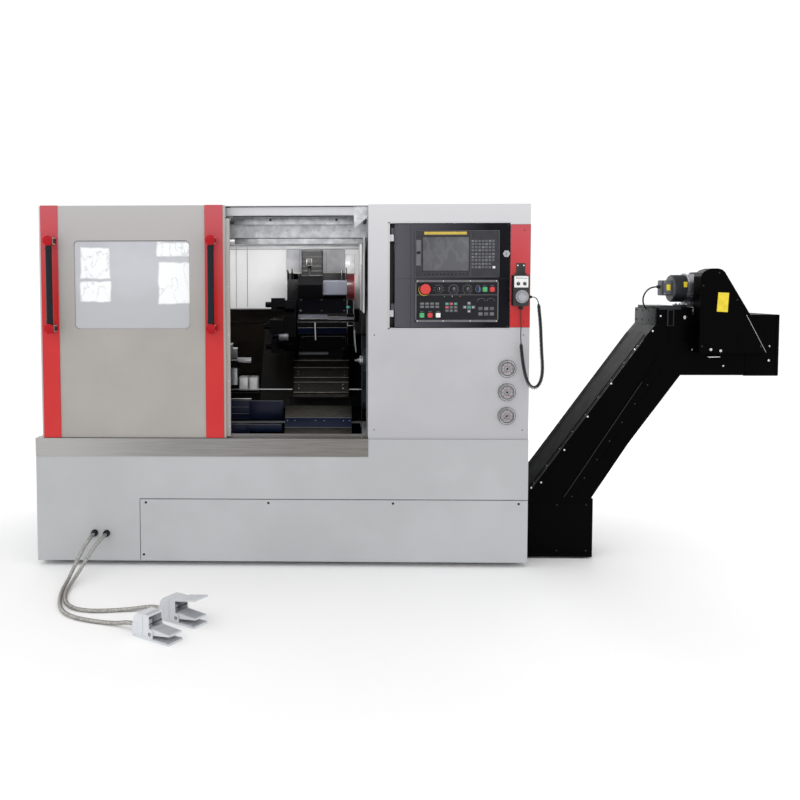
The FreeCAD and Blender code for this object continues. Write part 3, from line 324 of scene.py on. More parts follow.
RED = red_coat()
LEDGE = ledge_metal()
WINDOW = window_film()
LINER = liner_coat()
SCREEN = screen_face()
CAST = dull(paint("cast_grey", (0.0025, 0.0025, 0.0032), 0.55, 0.12, dirt=0.2, grain=420), 0.03)
CAST_PALE = dull(paint("cast_blue", (0.030, 0.042, 0.065), 0.42, 0.12, dirt=0.12, grain=420), 0.3)
SERVO = dull(paint("servo_black", (0.0045, 0.0045, 0.005), 0.42, 0.1, dirt=0.3), 0.12)
TURRET = dull(paint("turret_coat", (0.0012, 0.0012, 0.0022), 0.36, 0.08, dirt=0.2, grain=500), 0.04)
OXIDE = dull(paint("dark_oxide", (0.0025, 0.0025, 0.0032), 0.38, 0.08, dirt=0.3, grain=300), 0.04)
COVER_STEEL = metal("cover_steel", (0.045, 0.042, 0.037), 0.36, (1, 14, 14), 26, 0.1, 0.3)
PEDAL = paint("pedal_enamel", (0.62, 0.64, 0.67), 0.42, 0.1, dirt=0.08, grain=700)
PAD = plastic("grip_rubber", (0.30, 0.31, 0.33), 0.75, 900, 0.3)
CONDUIT = metal("interlocked_strip", (0.40, 0.39, 0.37), 0.34, scale=120, depth=0.08, var=0.3)
CORD = plastic("cord_sheath", (0.012, 0.012, 0.013), 0.5, 900, 0.1)
LEAD = plastic("lead_sheath", (0.045, 0.038, 0.030), 0.5, 900, 0.1)
PCOAT = plastic("red_lens", (0.62, 0.022, 0.024), 0.28, coat=0.4)
GCOAT = plastic("green_lens", (0.045, 0.42, 0.14), 0.28, coat=0.4)
WCOAT = plastic("white_lens", (0.80, 0.80, 0.80), 0.3, coat=0.3)
YELLOW = plastic("yellow_film", (0.80, 0.62, 0.02), 0.42, 500, 0.04)
GOLD = plastic("yellow_strip", (0.58, 0.42, 0.06), 0.4)
TEAL = plastic("teal_key", (0.03, 0.25, 0.20), 0.45)
PINK = plastic("red_key", (0.42, 0.03, 0.06), 0.45)
DIALFACE = plastic("dial_card", (0.36, 0.365, 0.38), 0.5)
ALLOY = metal("cast_alloy", (0.40, 0.41, 0.44), 0.36, scale=70, depth=0.14, var=0.14)
MOTOR_GREY = paint("motor_grey", (0.022, 0.023, 0.027), 0.5, 0.14, dirt=0.2, grain=500)
TERMINAL = paint("terminal_grey", (0.095, 0.10, 0.115), 0.5, 0.12, dirt=0.15, grain=500)
TUBE = plastic("coolant_tube", (0.62, 0.63, 0.62), 0.35)


# ---- mesh building -------------------------------------------------------------------------
def ends(*at):
    return [[v[i] if isinstance(v, tuple) else v for v in at] for i in (0, 1)]


class Kit:
    """Collects bevelled boxes, turned shapes and plates, given in machine millimetres, in one piece."""

    def __init__(self, name, body, slot):
        self.bm = bmesh.new()
        self.name, self.body, self.slot = name, body, slot
        self.mats = []
        self.bevelled = False

    def index(self, m):
        if m not in self.mats:
            self.mats.append(m)
        return self.mats.index(m)

    def take(self, verts, m, matrix):
        for f in dict.fromkeys(f for v in verts for f in v.link_faces):
            f.material_index = self.index(m)
        bmesh.ops.transform(self.bm, matrix=matrix, verts=verts)

    def round(self, verts, width, segments=2, sharp=20):
        if width <= 0:
            return
        self.bevelled = True
        edges = dict.fromkeys(e for v in verts for e in v.link_edges)   # in the same order every run
        edges = [e for e in edges if len(e.link_faces) == 2 and e.calc_face_angle(0) > rad(sharp)]
        bmesh.ops.bevel(self.bm, geom=edges, offset=width, segments=segments, profile=0.5, affect="EDGES",
                        clamp_overlap=True)

    def box(self, x0, x1, y0, y1, z0, z1, m, r=0.6, matrix=None):
        v = bmesh.ops.create_cube(self.bm, size=1.0)["verts"]
        size = Matrix.Diagonal((x1 - x0, y1 - y0, z1 - z0, 1))
        at = Matrix.Translation(((x0 + x1) / 2, (y0 + y1) / 2, (z0 + z1) / 2))
        self.take(v, m, (matrix or Matrix()) @ at @ size)
        self.round(v, r)

    def rod(self, radius, a, b, m, r=0.0, seg=32):
        a, b = Vector(a), Vector(b)
        v = bmesh.ops.create_cone(self.bm, cap_ends=True, segments=seg, radius1=radius, radius2=radius,
                                  depth=(b - a).length)["verts"]
        turn = (b - a).to_track_quat("Z", "Y").to_matrix().to_4x4()
        self.take(v, m, Matrix.Translation((a + b) / 2) @ turn)
        self.round(v, r, 2, 50)

    def plate(self, pts, axis, low, high, m, r=0.0):
        """Extrudes an outline: (y, z) along x, (x, z) along y or (x, y) along z."""
        def at(p, d):
            return {"x": (d, p[0], p[1]), "y": (p[0], d, p[1]), "z": (p[0], p[1], d)}[axis]
        near = [self.bm.verts.new(at(p, low)) for p in pts]
        far = [self.bm.verts.new(at(p, high)) for p in pts]
        faces = [self.bm.faces.new(near), self.bm.faces.new(far[::-1])]
        for k in range(len(pts)):
            faces.append(self.bm.faces.new((near[k - 1], far[k - 1], far[k], near[k])))
        for f in faces:
            f.material_index = self.index(m)
        bmesh.ops.recalc_face_normals(self.bm, faces=faces)
        self.round(near + far, r)

    def circle(self, centre, side, up, radius, seg):
        turns = [2 * math.pi * k / seg for k in range(seg)]
        return [self.bm.verts.new(centre + (side * math.cos(t) + up * math.sin(t)) * radius) for t in turns]

    def skin(self, rows, m, ends=True):
        """Faces between circles of points in turn, and over the first and last."""
        faces = []
        for near, far in zip(rows, rows[1:]):
            for k in range(len(near)):
                faces.append(self.bm.faces.new((near[k - 1], near[k], far[k], far[k - 1])))
        if ends:
            faces += [self.bm.faces.new(row) for row in (rows[0], rows[-1])]
        for f in faces:
            f.material_index = self.index(m)

    def tick(self, x, z, a, near, far, half, y0, y1, m):
        """A mark on a dial about (x, z), at an angle from its top in degrees."""
        u, w = math.sin(rad(a)), math.cos(rad(a))
        corners = ((near, -half), (far, -half), (far, half), (near, half))
        self.plate([(x + u * r + w * s, z + w * r - u * s) for r, s in corners], "y", y0, y1, m)

    def key(self, x, z, wide, tall, y0, y1, m, r):
        """A box about (x, z), given by half its width and half its height."""
        self.box(x - wide, x + wide, y0, y1, z - tall, z + tall, m, r)

    def sheet(self, axis, low, high, u0, u1, z0, z1, m, r):
        """A box from low to high on a face along x or y."""
        self.box(*((u0, u1, low, high) if axis == "y" else (low, high, u0, u1)), z0, z1, m, r)

    def rim(self, u0, u1, z0, z1, wide, tall, low, high, m, r, axis="y"):
        """Four strips just inside a rectangle, on a face along y or x."""
        for a, b, c, d in ((u0, u1, z1 - tall, z1), (u0, u1, z0, z0 + tall), (u0, u0 + wide, z0, z1),
                           (u1 - wide, u1, z0, z1)):
            self.sheet(axis, low, high, a, b, c, d, m, r)

    def ring(self, outer, inner, a, b, m, seg=48):
        """A flat or tall ring between two points of its axis."""
        a, b = Vector(a), Vector(b)
        turn = (b - a).to_track_quat("Z", "Y").to_matrix()
        rows = [self.circle(centre, turn.col[0], turn.col[1], radius, seg)
                for centre, radius in ((a, inner), (a, outer), (b, outer), (b, inner))]
        self.skin(rows + rows[:1], m, False)

    def pin(self, radius, x, y, z, m, r=0.0, seg=32, matrix=None):
        """A rod along the one coordinate that is given as (from, to)."""
        self.rod(radius, *((matrix or Matrix()) @ Vector(p) for p in ends(x, y, z)), m, r, seg)

    def collar(self, outer, inner, x, y, z, m, seg=48):
        """A ring along the one coordinate that is given as (from, to)."""
        self.ring(outer, inner, *ends(x, y, z), m, seg)

    def lathe(self, profile, origin, direction, m, seg=48):
        """Turns (distance along the axis, radius) pairs about an axis."""
        o = Vector(origin)
        turn = Vector(direction).to_track_quat("Z", "Y").to_matrix()
        self.skin([self.circle(o + turn.col[2] * d, turn.col[0], turn.col[1], max(radius, 0.01), seg)
                   for d, radius in profile], m)

    def tube(self, pts, radius, m, seg=10):
        """A round bar along points, its rings kept upright to the path."""
        pts = [Vector(p) for p in pts]
        rows = []
        side = None
        for i, p in enumerate(pts):
            ahead = (pts[min(i + 1, len(pts) - 1)] - pts[max(i - 1, 0)]).normalized()
            if side is None:
                side = ahead.orthogonal().normalized()
            side = (side - ahead * side.dot(ahead)).normalized()
            up = ahead.cross(side)
            r = radius(i) if callable(radius) else radius
            rows.append(self.circle(p, side, up, r, seg))
        self.skin(rows, m)

    def screw(self, x, y, z, radius=4.0, m=None, axis=(0, -1, 0), proud=2.0):
        """A button-head screw with a hex socket; (x, y, z) is on the face it sits on."""
        shape = ((0.0, 1.0), (0.35, 1.0), (0.8, 0.8), (1.0, 0.48), (0.45, 0.42), (0.45, 0.0))
        self.lathe([(proud * d, radius * r) for d, r in shape], (x, y, z), axis, m or SCREW, 16)

    def screws(self, xs, y, zs, radius, m, proud):
        for x in xs:
            for z in zs:
                self.screw(x, y, z, radius, m, proud=proud)

    def settle(self, mesh):
        """Fills the mesh with points and faces in an order of their own, as bevels leave them in any."""
        points = sorted(self.bm.verts, key=lambda v: tuple(round(c, 4) for c in v.co))
        place = {v: i for i, v in enumerate(points)}
        faces = []
        for f in self.bm.faces:
            loop = [place[v] for v in f.verts]
            first = loop.index(min(loop))
            faces.append((loop[first:] + loop[:first], f.material_index))
        faces.sort()
        mesh.from_pydata([v.co for v in points], [], [loop for loop, m in faces])
        mesh.polygons.foreach_set("material_index", [m for loop, m in faces])

    def done(self, smooth=38):
        bmesh.ops.recalc_face_normals(self.bm, faces=self.bm.faces)
        mesh = bpy.data.meshes.new(self.name)
        if self.bevelled:
            self.settle(mesh)
        else:
            self.bm.to_mesh(mesh)
        self.bm.free()
        mesh.transform(Matrix.Translation((-OX / 1000, -OY / 1000, 0)) @ Matrix.Scale(0.001, 4))
        for m in self.mats:
            mesh.materials.append(m)
        for f in mesh.polygons:
            f.use_smooth = True
        mesh.set_sharp_from_angle(angle=rad(smooth))
        o = bpy.data.objects.new(self.name, mesh)
        bpy.context.scene.collection.objects.link(o)
        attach(o, self.body)
        return o


def curve_points(pts):
    """The line of the NURBS spline that has these frame points (mm) as its controls, in metres."""
    c = route_curve("probe", [tuple(v / 1000 for v in p) for p in pts], 0.0)
    mesh = bpy.data.meshes.new_from_object(c)
    line = [v.co.copy() for v in mesh.vertices]
    bpy.data.objects.remove(c)
    return line


def route_curve(name, pts, radius):
    data = bpy.data.curves.new(name, "CURVE")
    data.dimensions = "3D"
    data.resolution_u = 12
    data.bevel_depth = radius
    data.bevel_resolution = 3
    data.use_fill_caps = True
    s = data.splines.new("NURBS")
    s.points.add(len(pts) - 1)
    for point, p in zip(s.points, pts):
        point.co = (*p, 1)
    s.order_u = 3
    s.use_endpoint_u = True
    o = bpy.data.objects.new(name, data)
    bpy.context.scene.collection.objects.link(o)
    return o


def length_of(line):
    return sum((b - a).length for a, b in zip(line, line[1:]))


def along(line, count):
    """Points evenly spaced by length, count + 1 of them."""
    steps = [0.0]
    for a, b in zip(line, line[1:]):
        steps.append(steps[-1] + (b - a).length)
    out = []
    i = 0
    for k in range(count + 1):
        want = steps[-1] * k / count
        while i < len(line) - 2 and steps[i + 1] < want:
            i += 1
        t = (want - steps[i]) / max(1e-9, steps[i + 1] - steps[i])
        out.append(line[i].lerp(line[i + 1], min(1, max(0, t))))
    return out


# ---- camera and light ----------------------------------------------------------------------
scene = bpy.context.scene
cam = bpy.data.objects.new("camera", bpy.data.cameras.new("camera"))
scene.collection.objects.link(cam)
cam.location = (-0.3615, -4.6125, 1.4007)
cam.rotation_euler = (rad(90 - 3.355), rad(0.1), rad(1.462))
cam.data.lens = 40.0
cam.data.sensor_width = 36.0
cam.data.shift_x = 0.1076
cam.data.shift_y = -0.0771
cam.data.clip_end = 100
scene.camera = cam
scene.view_settings.view_transform = "Standard"
world = bpy.data.worlds.new("studio")
scene.world = world
world.use_nodes = True
world.node_tree.nodes["Background"].inputs["Color"].default_value = (1.0, 1.0, 1.0, 1)
world.node_tree.nodes["Background"].inputs["Strength"].default_value = 1.05


def area(name, at, to, size, power):
    data = bpy.data.lights.new(name, "AREA")
    data.shape = "RECTANGLE"
    data.size, data.size_y = size
    data.energy = power
    o = bpy.data.objects.new(name, data)
    scene.collection.objects.link(o)
    o.location = at
    o.rotation_euler = (Vector(to) - Vector(at)).to_track_quat("-Z", "Y").to_euler()
    return o


area("key", (-2.4, -4.2, 3.8), (0, 0, 0.9), (3.0, 2.0), 17)
area("fill", (3.2, -4.4, 2.6), (0.4, 0, 0.9), (2.6, 2.0), 6)
area("rear", (0.6, 4.6, 3.4), (0, 0.6, 0.9), (4.0, 2.0), 70)

floor_mesh = bpy.data.meshes.new("floor")
floor_bm = bmesh.new()
bmesh.ops.create_grid(floor_bm, x_segments=2, y_segments=2, size=30)
floor_bm.to_mesh(floor_mesh)
floor_bm.free()
floor = bpy.data.objects.new("floor", floor_mesh)
scene.collection.objects.link(floor)
floor_mat = Mat("floor_pale", 0.9)
floor_mat.colour(floor_mat.ramp(floor_mat.noise(0.8, 2), ((0.2, 0.97), (0.8, 1.0))))
floor_mesh.materials.append(floor_mat.m)

# ---- cords ---------------------------------------------------------------------------------
LEAD_TOP = [(586, -269, 1347), (597, -269, 1347), (608, -270, 1340), (616.33, -271.58, 1323.9),
            (618, -272, 1308)]
COIL_ROUTE = [(618, -272, 1308), (622, -273, 1270), (627, -274, 1222), (630, -275, 1170), (632, -276, 1118),
              (635, -277, 1066), (639, -278, 1016), (638, -279, 966), (627, -280, 925), (606, -280, 903),
              (583, -279, 909), (565, -277, 938), (552, -275, 984), (544, -272, 1036), (539, -268, 1086),
              (537, -263, 1126)]
LEAD_BACK = [(537, -263, 1126), (535.41, -259.04, 1157.71), (538, -256, 1196), (537, -252, 1236), (537, -250, 1262),
             (537, -250, 1284)]
CONDUIT_FRONT = [(-1575, -271, 167), (-1575, -303, 167), (-1584, -338, 152), (-1600, -374, 122), (-1614, -416, 84),
                 (-1625, -464, 45), (-1630, -518, 19), (-1629, -576, 10), (-1622, -636, 9), (-1610, -696, 9),
                 (-1596, -754, 9), (-1579, -812, 9), (-1556, -868, 9), (-1524, -918, 9), (-1482, -958, 9),
                 (-1430, -987, 9), (-1374, -1008, 9), (-1318, -1024, 9), (-1264, -1040, 13), (-1212.547, -1068.674, 30),
                 (-1178.849, -1090.225, 30)]
CONDUIT_REAR = [(-1515, -271, 165), (-1515, -303, 165), (-1529, -338, 152), (-1549, -374, 126), (-1568, -416, 92),
                (-1583, -462, 57), (-1595, -514, 32), (-1601, -570, 18), (-1599, -632, 10), (-1589, -694, 9),
                (-1574, -750, 9), (-1552, -802, 9), (-1520, -846, 9), (-1478, -876, 9), (-1426, -890, 9),
                (-1368, -890, 9), (-1308, -880, 9), (-1250, -869, 10), (-1195, -868, 18), (-1140.547, -890.674, 30),
                (-1106.849, -912.225, 30)]
COIL_TURNS = 104
TURN_STEPS = 12
COIL_TOP, COIL_END = 1.316, 1.122   # heights where the turns start and end
HELIX = 0.0068                      # radius of the turns
WIRE = 0.0024                       # radius of the cord itself


def curly_cord():
    whole = curve_points(LEAD_TOP + COIL_ROUTE[1:] + LEAD_BACK[1:])
    dense = along(whole, 3200)
    first = next(i for i, p in enumerate(dense) if p.z < COIL_TOP)
    low = min(range(len(dense)), key=lambda i: dense[i].z)
    last = next(i for i in range(low, len(dense)) if dense[i].z > COIL_END)
    pts = [dense[i] for i in range(0, first, 30)]
    count = COIL_TURNS * TURN_STEPS
    side = None
    for k in range(count + 1):
        i = first + (last - first) * k / count
        p = dense[int(i)].lerp(dense[min(int(i) + 1, len(dense) - 1)], i % 1)
        ahead = (dense[min(int(i) + 4, len(dense) - 1)] - dense[max(int(i) - 4, 0)]).normalized()
        if side is None:
            side = ahead.orthogonal().normalized()
        side = (side - ahead * side.dot(ahead)).normalized()
        up = ahead.cross(side)
        swell = min(1.0, k / 20.0, (count - k) / 20.0)
        turn = 2 * math.pi * k / TURN_STEPS
        pts.append(p + (side * math.cos(turn) + up * math.sin(turn)) * HELIX * swell)
    pts += [dense[i] for i in range(last + 30, len(dense), 60)] + [dense[-1]]
    o = route_curve("pendant_cord", [tuple(p) for p in pts], WIRE)
    o.data.resolution_u = 3
    o.data.materials.append(CORD)
    probe = route_curve("probe", [tuple(p) for p in pts], 0.0)
    probe.data.resolution_u = 3
    mesh = bpy.data.meshes.new_from_object(probe)
    real = length_of([v.co.copy() for v in mesh.vertices])
    bpy.data.objects.remove(probe)
    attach(o, "machine")
    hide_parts("pendant_coil", "pendant_lead")


def conduit(name, route, node):
    """Interlocked metal conduit: a tube whose radius steps up and down along the route."""
    line = curve_points(route)
    real = length_of(line)
    pitch = 0.0046
    count = int(real / pitch) * 4
    pts = along(line, count)
    k = Kit(name, "machine", "conduit_metal")
    wave = (0.0, 1.0, 1.0, 0.35)
    k.tube([((p.x * 1000 + OX), (p.y * 1000 + OY), p.z * 1000) for p in pts],
           lambda i: 8.0 + 0.9 * wave[i % 4], CONDUIT, 16)
    o = k.done(60)
    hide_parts(node)


curly_cord()
conduit("conduit_a", CONDUIT_FRONT, "conduit_front")
conduit("conduit_b", CONDUIT_REAR, "conduit_rear")


# ---- finishes of the CAD nodes -------------------------------------------------------------
ROLLED = ((0.030, 0.027, 0.023), (0.060, 0.056, 0.049), (1, 14, 14))   # oiled sheet: two tones, stretch


def estop_finish():
    m = Mat("estop_two_tone", 0.32, Coat_Weight=0.3)
    collar = m.step(1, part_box("estop_button")[0].y + 0.021, 0.0008)
    m.colour(m.mix(collar, (0.62, 0.028, 0.020), (0.74, 0.42, 0.02)))
    return m.finish((60, 2), 0.26, 0.4)


def key_finish():
    m = Mat("key_two_tone", 0.3, 0.0, Coat_Weight=0.3)
    front = m.step(1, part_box("key_switch")[0].y + 0.019, 0.0006)
    m.colour(m.mix(front, (0.015, 0.16, 0.55), (0.035, 0.035, 0.04)))
    return m.finish((60, 2), 0.24, 0.4)


def belts_finish():
    """Black rubber at the spindle drive, oiled steel links in the conveyor."""
    m = Mat("belt_two_kinds", 0.5)
    far = m.step(0, 0.0, 0.001)
    m.colour(m.mix(far, (0.018, 0.018, 0.02), (0.22, 0.215, 0.21)))
    m.link(far, m.s.inputs["Metallic"])
    return m.finish((30, 3), 0.32, 0.6, (18, 3, (4, 0.2, 4)), 0.2, 0.002)


def motor_finish():
    """Grey terminal box, dark finned body, bare alloy foot and flange, black gearbox."""
    m = Mat("gearmotor", 0.42)
    a = m.step(0, P(3229.5, 0, 0).x, 0.0004)
    b = m.step(0, P(3284.6, 0, 0).x, 0.0004)
    c = m.step(0, P(3345.4, 0, 0).x, 0.0004)
    cable = m.step(0, P(3170.6, 0, 0).x, 0.0002)
    tone = m.mix(cable, (0.010, 0.010, 0.011), (0.085, 0.09, 0.105))
    tone = m.mix(a, tone, (0.014, 0.014, 0.017))
    tone = m.mix(b, tone, (0.32, 0.325, 0.35))
    tone = m.mix(c, tone, (0.004, 0.004, 0.005))
    soot = m.both(m.ramp(m.noise(40, 4), ((0.4, 0.0), (0.7, 1.0))), 0.3)
    m.colour(m.mix(soot, tone, (0.02, 0.02, 0.02), "MULTIPLY"))
    m.link(m.both(b, m.both(1.0, c, "SUBTRACT")), m.s.inputs["Metallic"])
    return m.finish((70, 3), 0.3, 0.52, (300, 2), 0.12, 0.0006)


def slide_finish():
    """Cross slide: oiled grey castings, a black motor and its frame above."""
    m = Mat("slide_two_tone", 0.4, Specular_IOR_Level=0.15)
    up = m.step(2, P(0, 0, 984).z, 0.002)
    m.colour(m.mix(up, m.cloud(26, 4, *ROLLED), (0.006, 0.006, 0.007)))
    m.link(m.both(1.0, up, "SUBTRACT"), m.s.inputs["Metallic"])
    return m.finish((20, 3), 0.28, 0.5, (420, 2), 0.12, 0.0006)


def handle_finish():
    m = Mat("handle_two_tone", 0.34, Specular_IOR_Level=0.2)
    ends = m.both(m.step(2, 1.601), m.axis(2, 1.2135, 1.2125), "ADD")
    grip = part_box("door_handles")[0].y + 0.019
    ends = m.both(ends, m.axis(1, grip + 0.012, grip + 0.008))
    m.colour(m.mix(ends, (0.007, 0.008, 0.013), (0.30, 0.005, 0.008)))
    return m.finish((60, 2), 0.28, 0.42, (900, 2), 0.1, 0.0004)


def turret_motor_finish():
    m = Mat("turret_motor_two_tone", 0.36, Coat_Weight=0.2)
    cap = m.step(0, P(1563.2, 0, 0).x, 0.0004)
    m.colour(m.mix(cap, (0.11, 0.115, 0.145), (0.060, 0.002, 0.005)))
    return m.finish((30, 3), 0.28, 0.44, (500, 2), 0.08, 0.0006)


def pendant_finish():
    m = Mat("pendant_shell", 0.42)
    m.colour(m.mix(m.cloud(30, 3), (0.010, 0.010, 0.011), (0.020, 0.020, 0.022)))
    return m.finish((70, 3), 0.34, 0.5, (1300, 2), 0.14, 0.0004)


def saddle_finish():
    """Sheet steel over the saddle itself, oiled black on its wing to the left."""
    m = Mat("saddle_two_tone", 0.38, Specular_IOR_Level=0.15)
    right = m.step(0, P(1258, 0, 0).x, 0.0005)
    m.colour(m.mix(right, (0.006, 0.005, 0.004), m.cloud(26, 4, *ROLLED)))
    m.link(right, m.s.inputs["Metallic"])
    return m.finish((20, 3), 0.28, 0.5)


FINISH = {
    "base_frame": BASE, "access_panels": BASE, "levelling_feet": CAST, "ledge_strip": LEDGE, "bed_casting": CAST,
    "headstock": CAST, "drive_motors": SERVO, "belts": belts_finish(), "enclosure_shell": CREAM,
    "front_cabinet": CREAM, "chamber_liner": LINER, "header_beam": ZINC, "pressure_gauges": RIM,
    "cable_glands": DARK, "conveyor_casing": BLACK, "conveyor_motor": motor_finish(), "pendant_body": pendant_finish(),
    "pedal_bodies": PEDAL, "door_panel": DOOR, "door_trims": RED, "door_window": WINDOW,
    "door_handles": handle_finish(),
    "control_door": CHAR, "screen_unit": PANEL, "operator_panel": PANEL2, "control_latch": CHROME,
    "estop_button": estop_finish(), "knob_mode": DARK, "knob_feed": DARK, "knob_spindle": DARK,
    "key_switch": key_finish(), "button_start": GCOAT, "button_stop": PCOAT, "button_power_on": GCOAT,
    "button_power_off": PCOAT, "button_light": WCOAT, "pendant_dial": ALLOY, "treadle_front": PEDAL,
    "treadle_rear": PEDAL, "spindle": STEEL_ROUND, "chuck_body": OXIDE, "work_bar": STEEL_ROUND,
    "chuck_jaw_1": STEEL, "chuck_jaw_2": OXIDE, "chuck_jaw_3": OXIDE, "motor_pulley": STEEL_ROUND,
    "saddle": saddle_finish(),
    "x_cover": COVER_STEEL, "cross_slide": slide_finish(), "turret_body": TURRET, "turret_motor": turret_motor_finish(),
    "turret_disc": OXIDE, "tool_holders": OXIDE, "tailstock": CAST_PALE, "live_centre": STEEL_ROUND,
    "head_shaft": STEEL_ROUND, "pendant_coil": CORD, "pendant_lead": LEAD, "conduit_front": CONDUIT,
    "conduit_rear": CONDUIT,
}
for name, finish in FINISH.items():
    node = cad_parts[name]
    if not node.data.materials:
        node.data.materials.append(finish)
    for holder in node.material_slots:
        holder.material = finish


# ---- front sheet metal ---------------------------------------------------------------------
def door_details():
    k = Kit("door_fittings", "door", "black_plastic")
    x0, x1, z0, z1 = 207, 779, 1191, 1627
    # rounded corners of the window; the black strip along its top edge and top corners is a painted shadow, and grey
    # strips run along its left, bottom and right edges
    for cx, cz, a0 in ((x0, z0, 180), (x1, z0, 270), (x1, z1, 0), (x0, z1, 90)):
        r = 24
        mx, mz = cx + (r if cx == x0 else -r), cz + (r if cz == z0 else -r)
        arc = [(mx + r * math.cos(rad(a0 + 15 * i)), mz + r * math.sin(rad(a0 + 15 * i))) for i in range(7)]
        k.plate([(cx, cz)] + arc, "y", 0.05, 3.0, DOOR)
        pts = [(mx + (r + 0.2) * math.cos(rad(a0 + 9 * i)), 0.6, mz + (r + 0.2) * math.sin(rad(a0 + 9 * i)))
               for i in range(11)]
        k.tube(pts, 1.0, SEAL if cz == z1 else RIM, 8)
    k.box(x0 + 20, x1 - 20, -0.5, 2.6, z1 - 3.4, z1 + 0.6, SEAL, 0.8)
    k.box(x0 - 0.6, x0 + 1.6, -0.3, 2.6, z0 + 20, z1 - 20, RIM, 0.6)
    k.box(x0 + 20, x1 - 20, -0.2, 2.6, z0 - 0.4, z0 + 0.9, RIM, 0.4)
    k.box(x1 - 0.9, x1 + 0.4, -0.2, 2.6, z0 + 20, z1 - 20, RIM, 0.4)
    for x in (102, 893):
        for z in (1195, 1624):
            k.lathe(((0, 18), (3, 23), (9, 25), (15, 23.5), (20, 16), (21.5, 0)), (x, GRIP_Y - 2, z), (0, -1, 0),
                    CAP_RED, 24)
            k.box(x - 16, x + 19, GRIP_Y + 8, -7, z - 17, z + 17, DARK, 5)
        for z in (1230, 1584):
            k.collar(17.6, 15.0, x, GRIP_Y, (z - 3, z + 3), DARK, 24)
    for z in (700, 930, 1160, 1400, 1640, 1730):
        k.screw(966, 20, z, 3.2, SCREW, proud=1.6)
    k.done()


GRIP_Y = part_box("door_handles")[0].y * 1000 + OY + 16.0
CAP_RED = dull(plastic("handle_cap_red", (0.42, 0.006, 0.012), 0.36), 0.15)
door_details()


def front_details():
    k = Kit("front_fittings", "machine", "cream_paint")
    # seams of the long access panel, with its screws; left of it the sheet is one piece
    k.box(520, 2448, -9.6, -8.6, 340.2, 342.6, SEAL, 0.3)
    # painted highlight: a white strip along the panel's top edge, under the seam
    k.box(522, 2448, -9.4, -8.7, 337.6, 339.0, LEGEND, 0.2)
    k.box(519, 521, -9.4, -8.6, 32, 341, SEAL, 0.2)
    k.box(0.6, 518.8, -9.06, -7, 334, 344, BASE, 0)
    for x, z in ((550, 322), (1164, 322), (1784, 322), (2405, 322), (537, 58)):
        k.screw(x, -9, z, 6.0, DARK, proud=1.9)
    # red strip beside the control door
    k.box(2352, 2450.6, -2.6, 0.2, 1197, 1700, RED, 1.2)
    for x in (2388, 2417):
        k.screw(x, -5, 1500, 4.0, SCREW, proud=1.8)
    for x, z in ((2420, 1226), (2420, 1672)):
        k.screw(x, -2.6, z, 3.2, SCREW_DARK, proud=1.4)
    # frame round the recess of the control door
    for a, b, c, d in ((1757, 1765, 1189, 1713), (1757, 2352, 1707, 1713), (1757, 2352, 1189, 1195)):
        k.box(a, b, -0.9, 0.4, c, d, CREAM, 0.4)
    # painted shade: a black strip in the gap left of the control door
    k.box(1766, 1787, 30, 36, 1197, 1705, DARK, 1)
    # cabinet screws
    for z in (690, 1160):
        for x in (1690, 2420):
            k.screw(x, 0, z, 3.2, SCREW_DARK, proud=1.2)
    k.done()


front_details()


def header_details():
    k = Kit("header_fittings", "machine", "zinc")
    k.box(976, 1658, 61.8, 63, 1755, 1793, CREAM, 0.1)
    for x in range(1010, 1600, 80):
        k.screw(x, 255, 1687, 3.4, SCREW, proud=1.5)
    k.plate(((1600, 1789), (1650, 1789), (1650, 1750), (1604, 1698)), "y", 60.0, 61.9, CREAM, 0.4)
    for x, z in ((1612, 1776), (1640, 1776), (1640, 1762)):
        k.screw(x, 60.0, z, 3.0, SCREW, proud=1.4)
    k.box(985, 1655, 70, 74, 1744, 1751, SEAL, 0.8)
    k.done()


header_details()


# ---- gauges --------------------------------------------------------------------------------
def gauges():
    k = Kit("gauge_faces", "machine", "key_metal")
    x = 2342
    for z, angle in ((994, 205), (878, 150), (761, 230)):
        k.collar(43.2, 41.0, x, (-4.2, -5.4), z, DARK)
        k.collar(41.4, 37.0, x, (-4.2, -5.6), z, CHROME)
        k.collar(37.4, 34.6, x, (-13.8, -15.4), z, CHROME)
        k.collar(34.8, 31.8, x, (-12.8, -14.6), z, DARK)
        k.pin(32.6, x, (-10.0, -10.6), z, DIALFACE, 0, 48)
        for i in range(31):
            deep, half = (26.0, 0.7) if i % 5 else (22.5, 1.3)
            k.tick(x, z, -135 + 9 * i, deep, 29, half, -11.0, -10.6, DARK)
        k.collar(21.4, 20.6, x, (-10.6, -10.9), z, PCOAT)
        a = rad(angle)
        u, w = math.sin(a), math.cos(a)
        needle = [(x - u * 8 - w * 1.6, z - w * 8 + u * 1.6), (x - u * 8 + w * 1.6, z - w * 8 - u * 1.6),
                  (x + u * 24, z + w * 24)]
        k.plate(needle, "y", -12.0, -11.4, DARK)
        k.pin(5.4, x, (-11.0, -12.6), z, DARK, 0.4, 20)
        for r in (13.0, 17.0):
            k.collar(r, r - 1.3, x, (-10.6, -10.9), z, DARK, 40)
        for s in range(3):
            u, w = polar(x, z, 40, 90 + 120 * s)
            k.screw(u, -5.4, w, 2.0, SCREW_DARK, proud=1.0)
    k.done()


gauges()


# ---- controls ------------------------------------------------------------------------------
def face_of(node):
    """The y of a node's foremost face, in machine millimetres."""
    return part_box(node)[0].y * 1000 + OY


PANEL_Y = -8.0   # front of the screen unit and of the operator panel
KNOB_Z = 1384    # height of the row with the three knobs


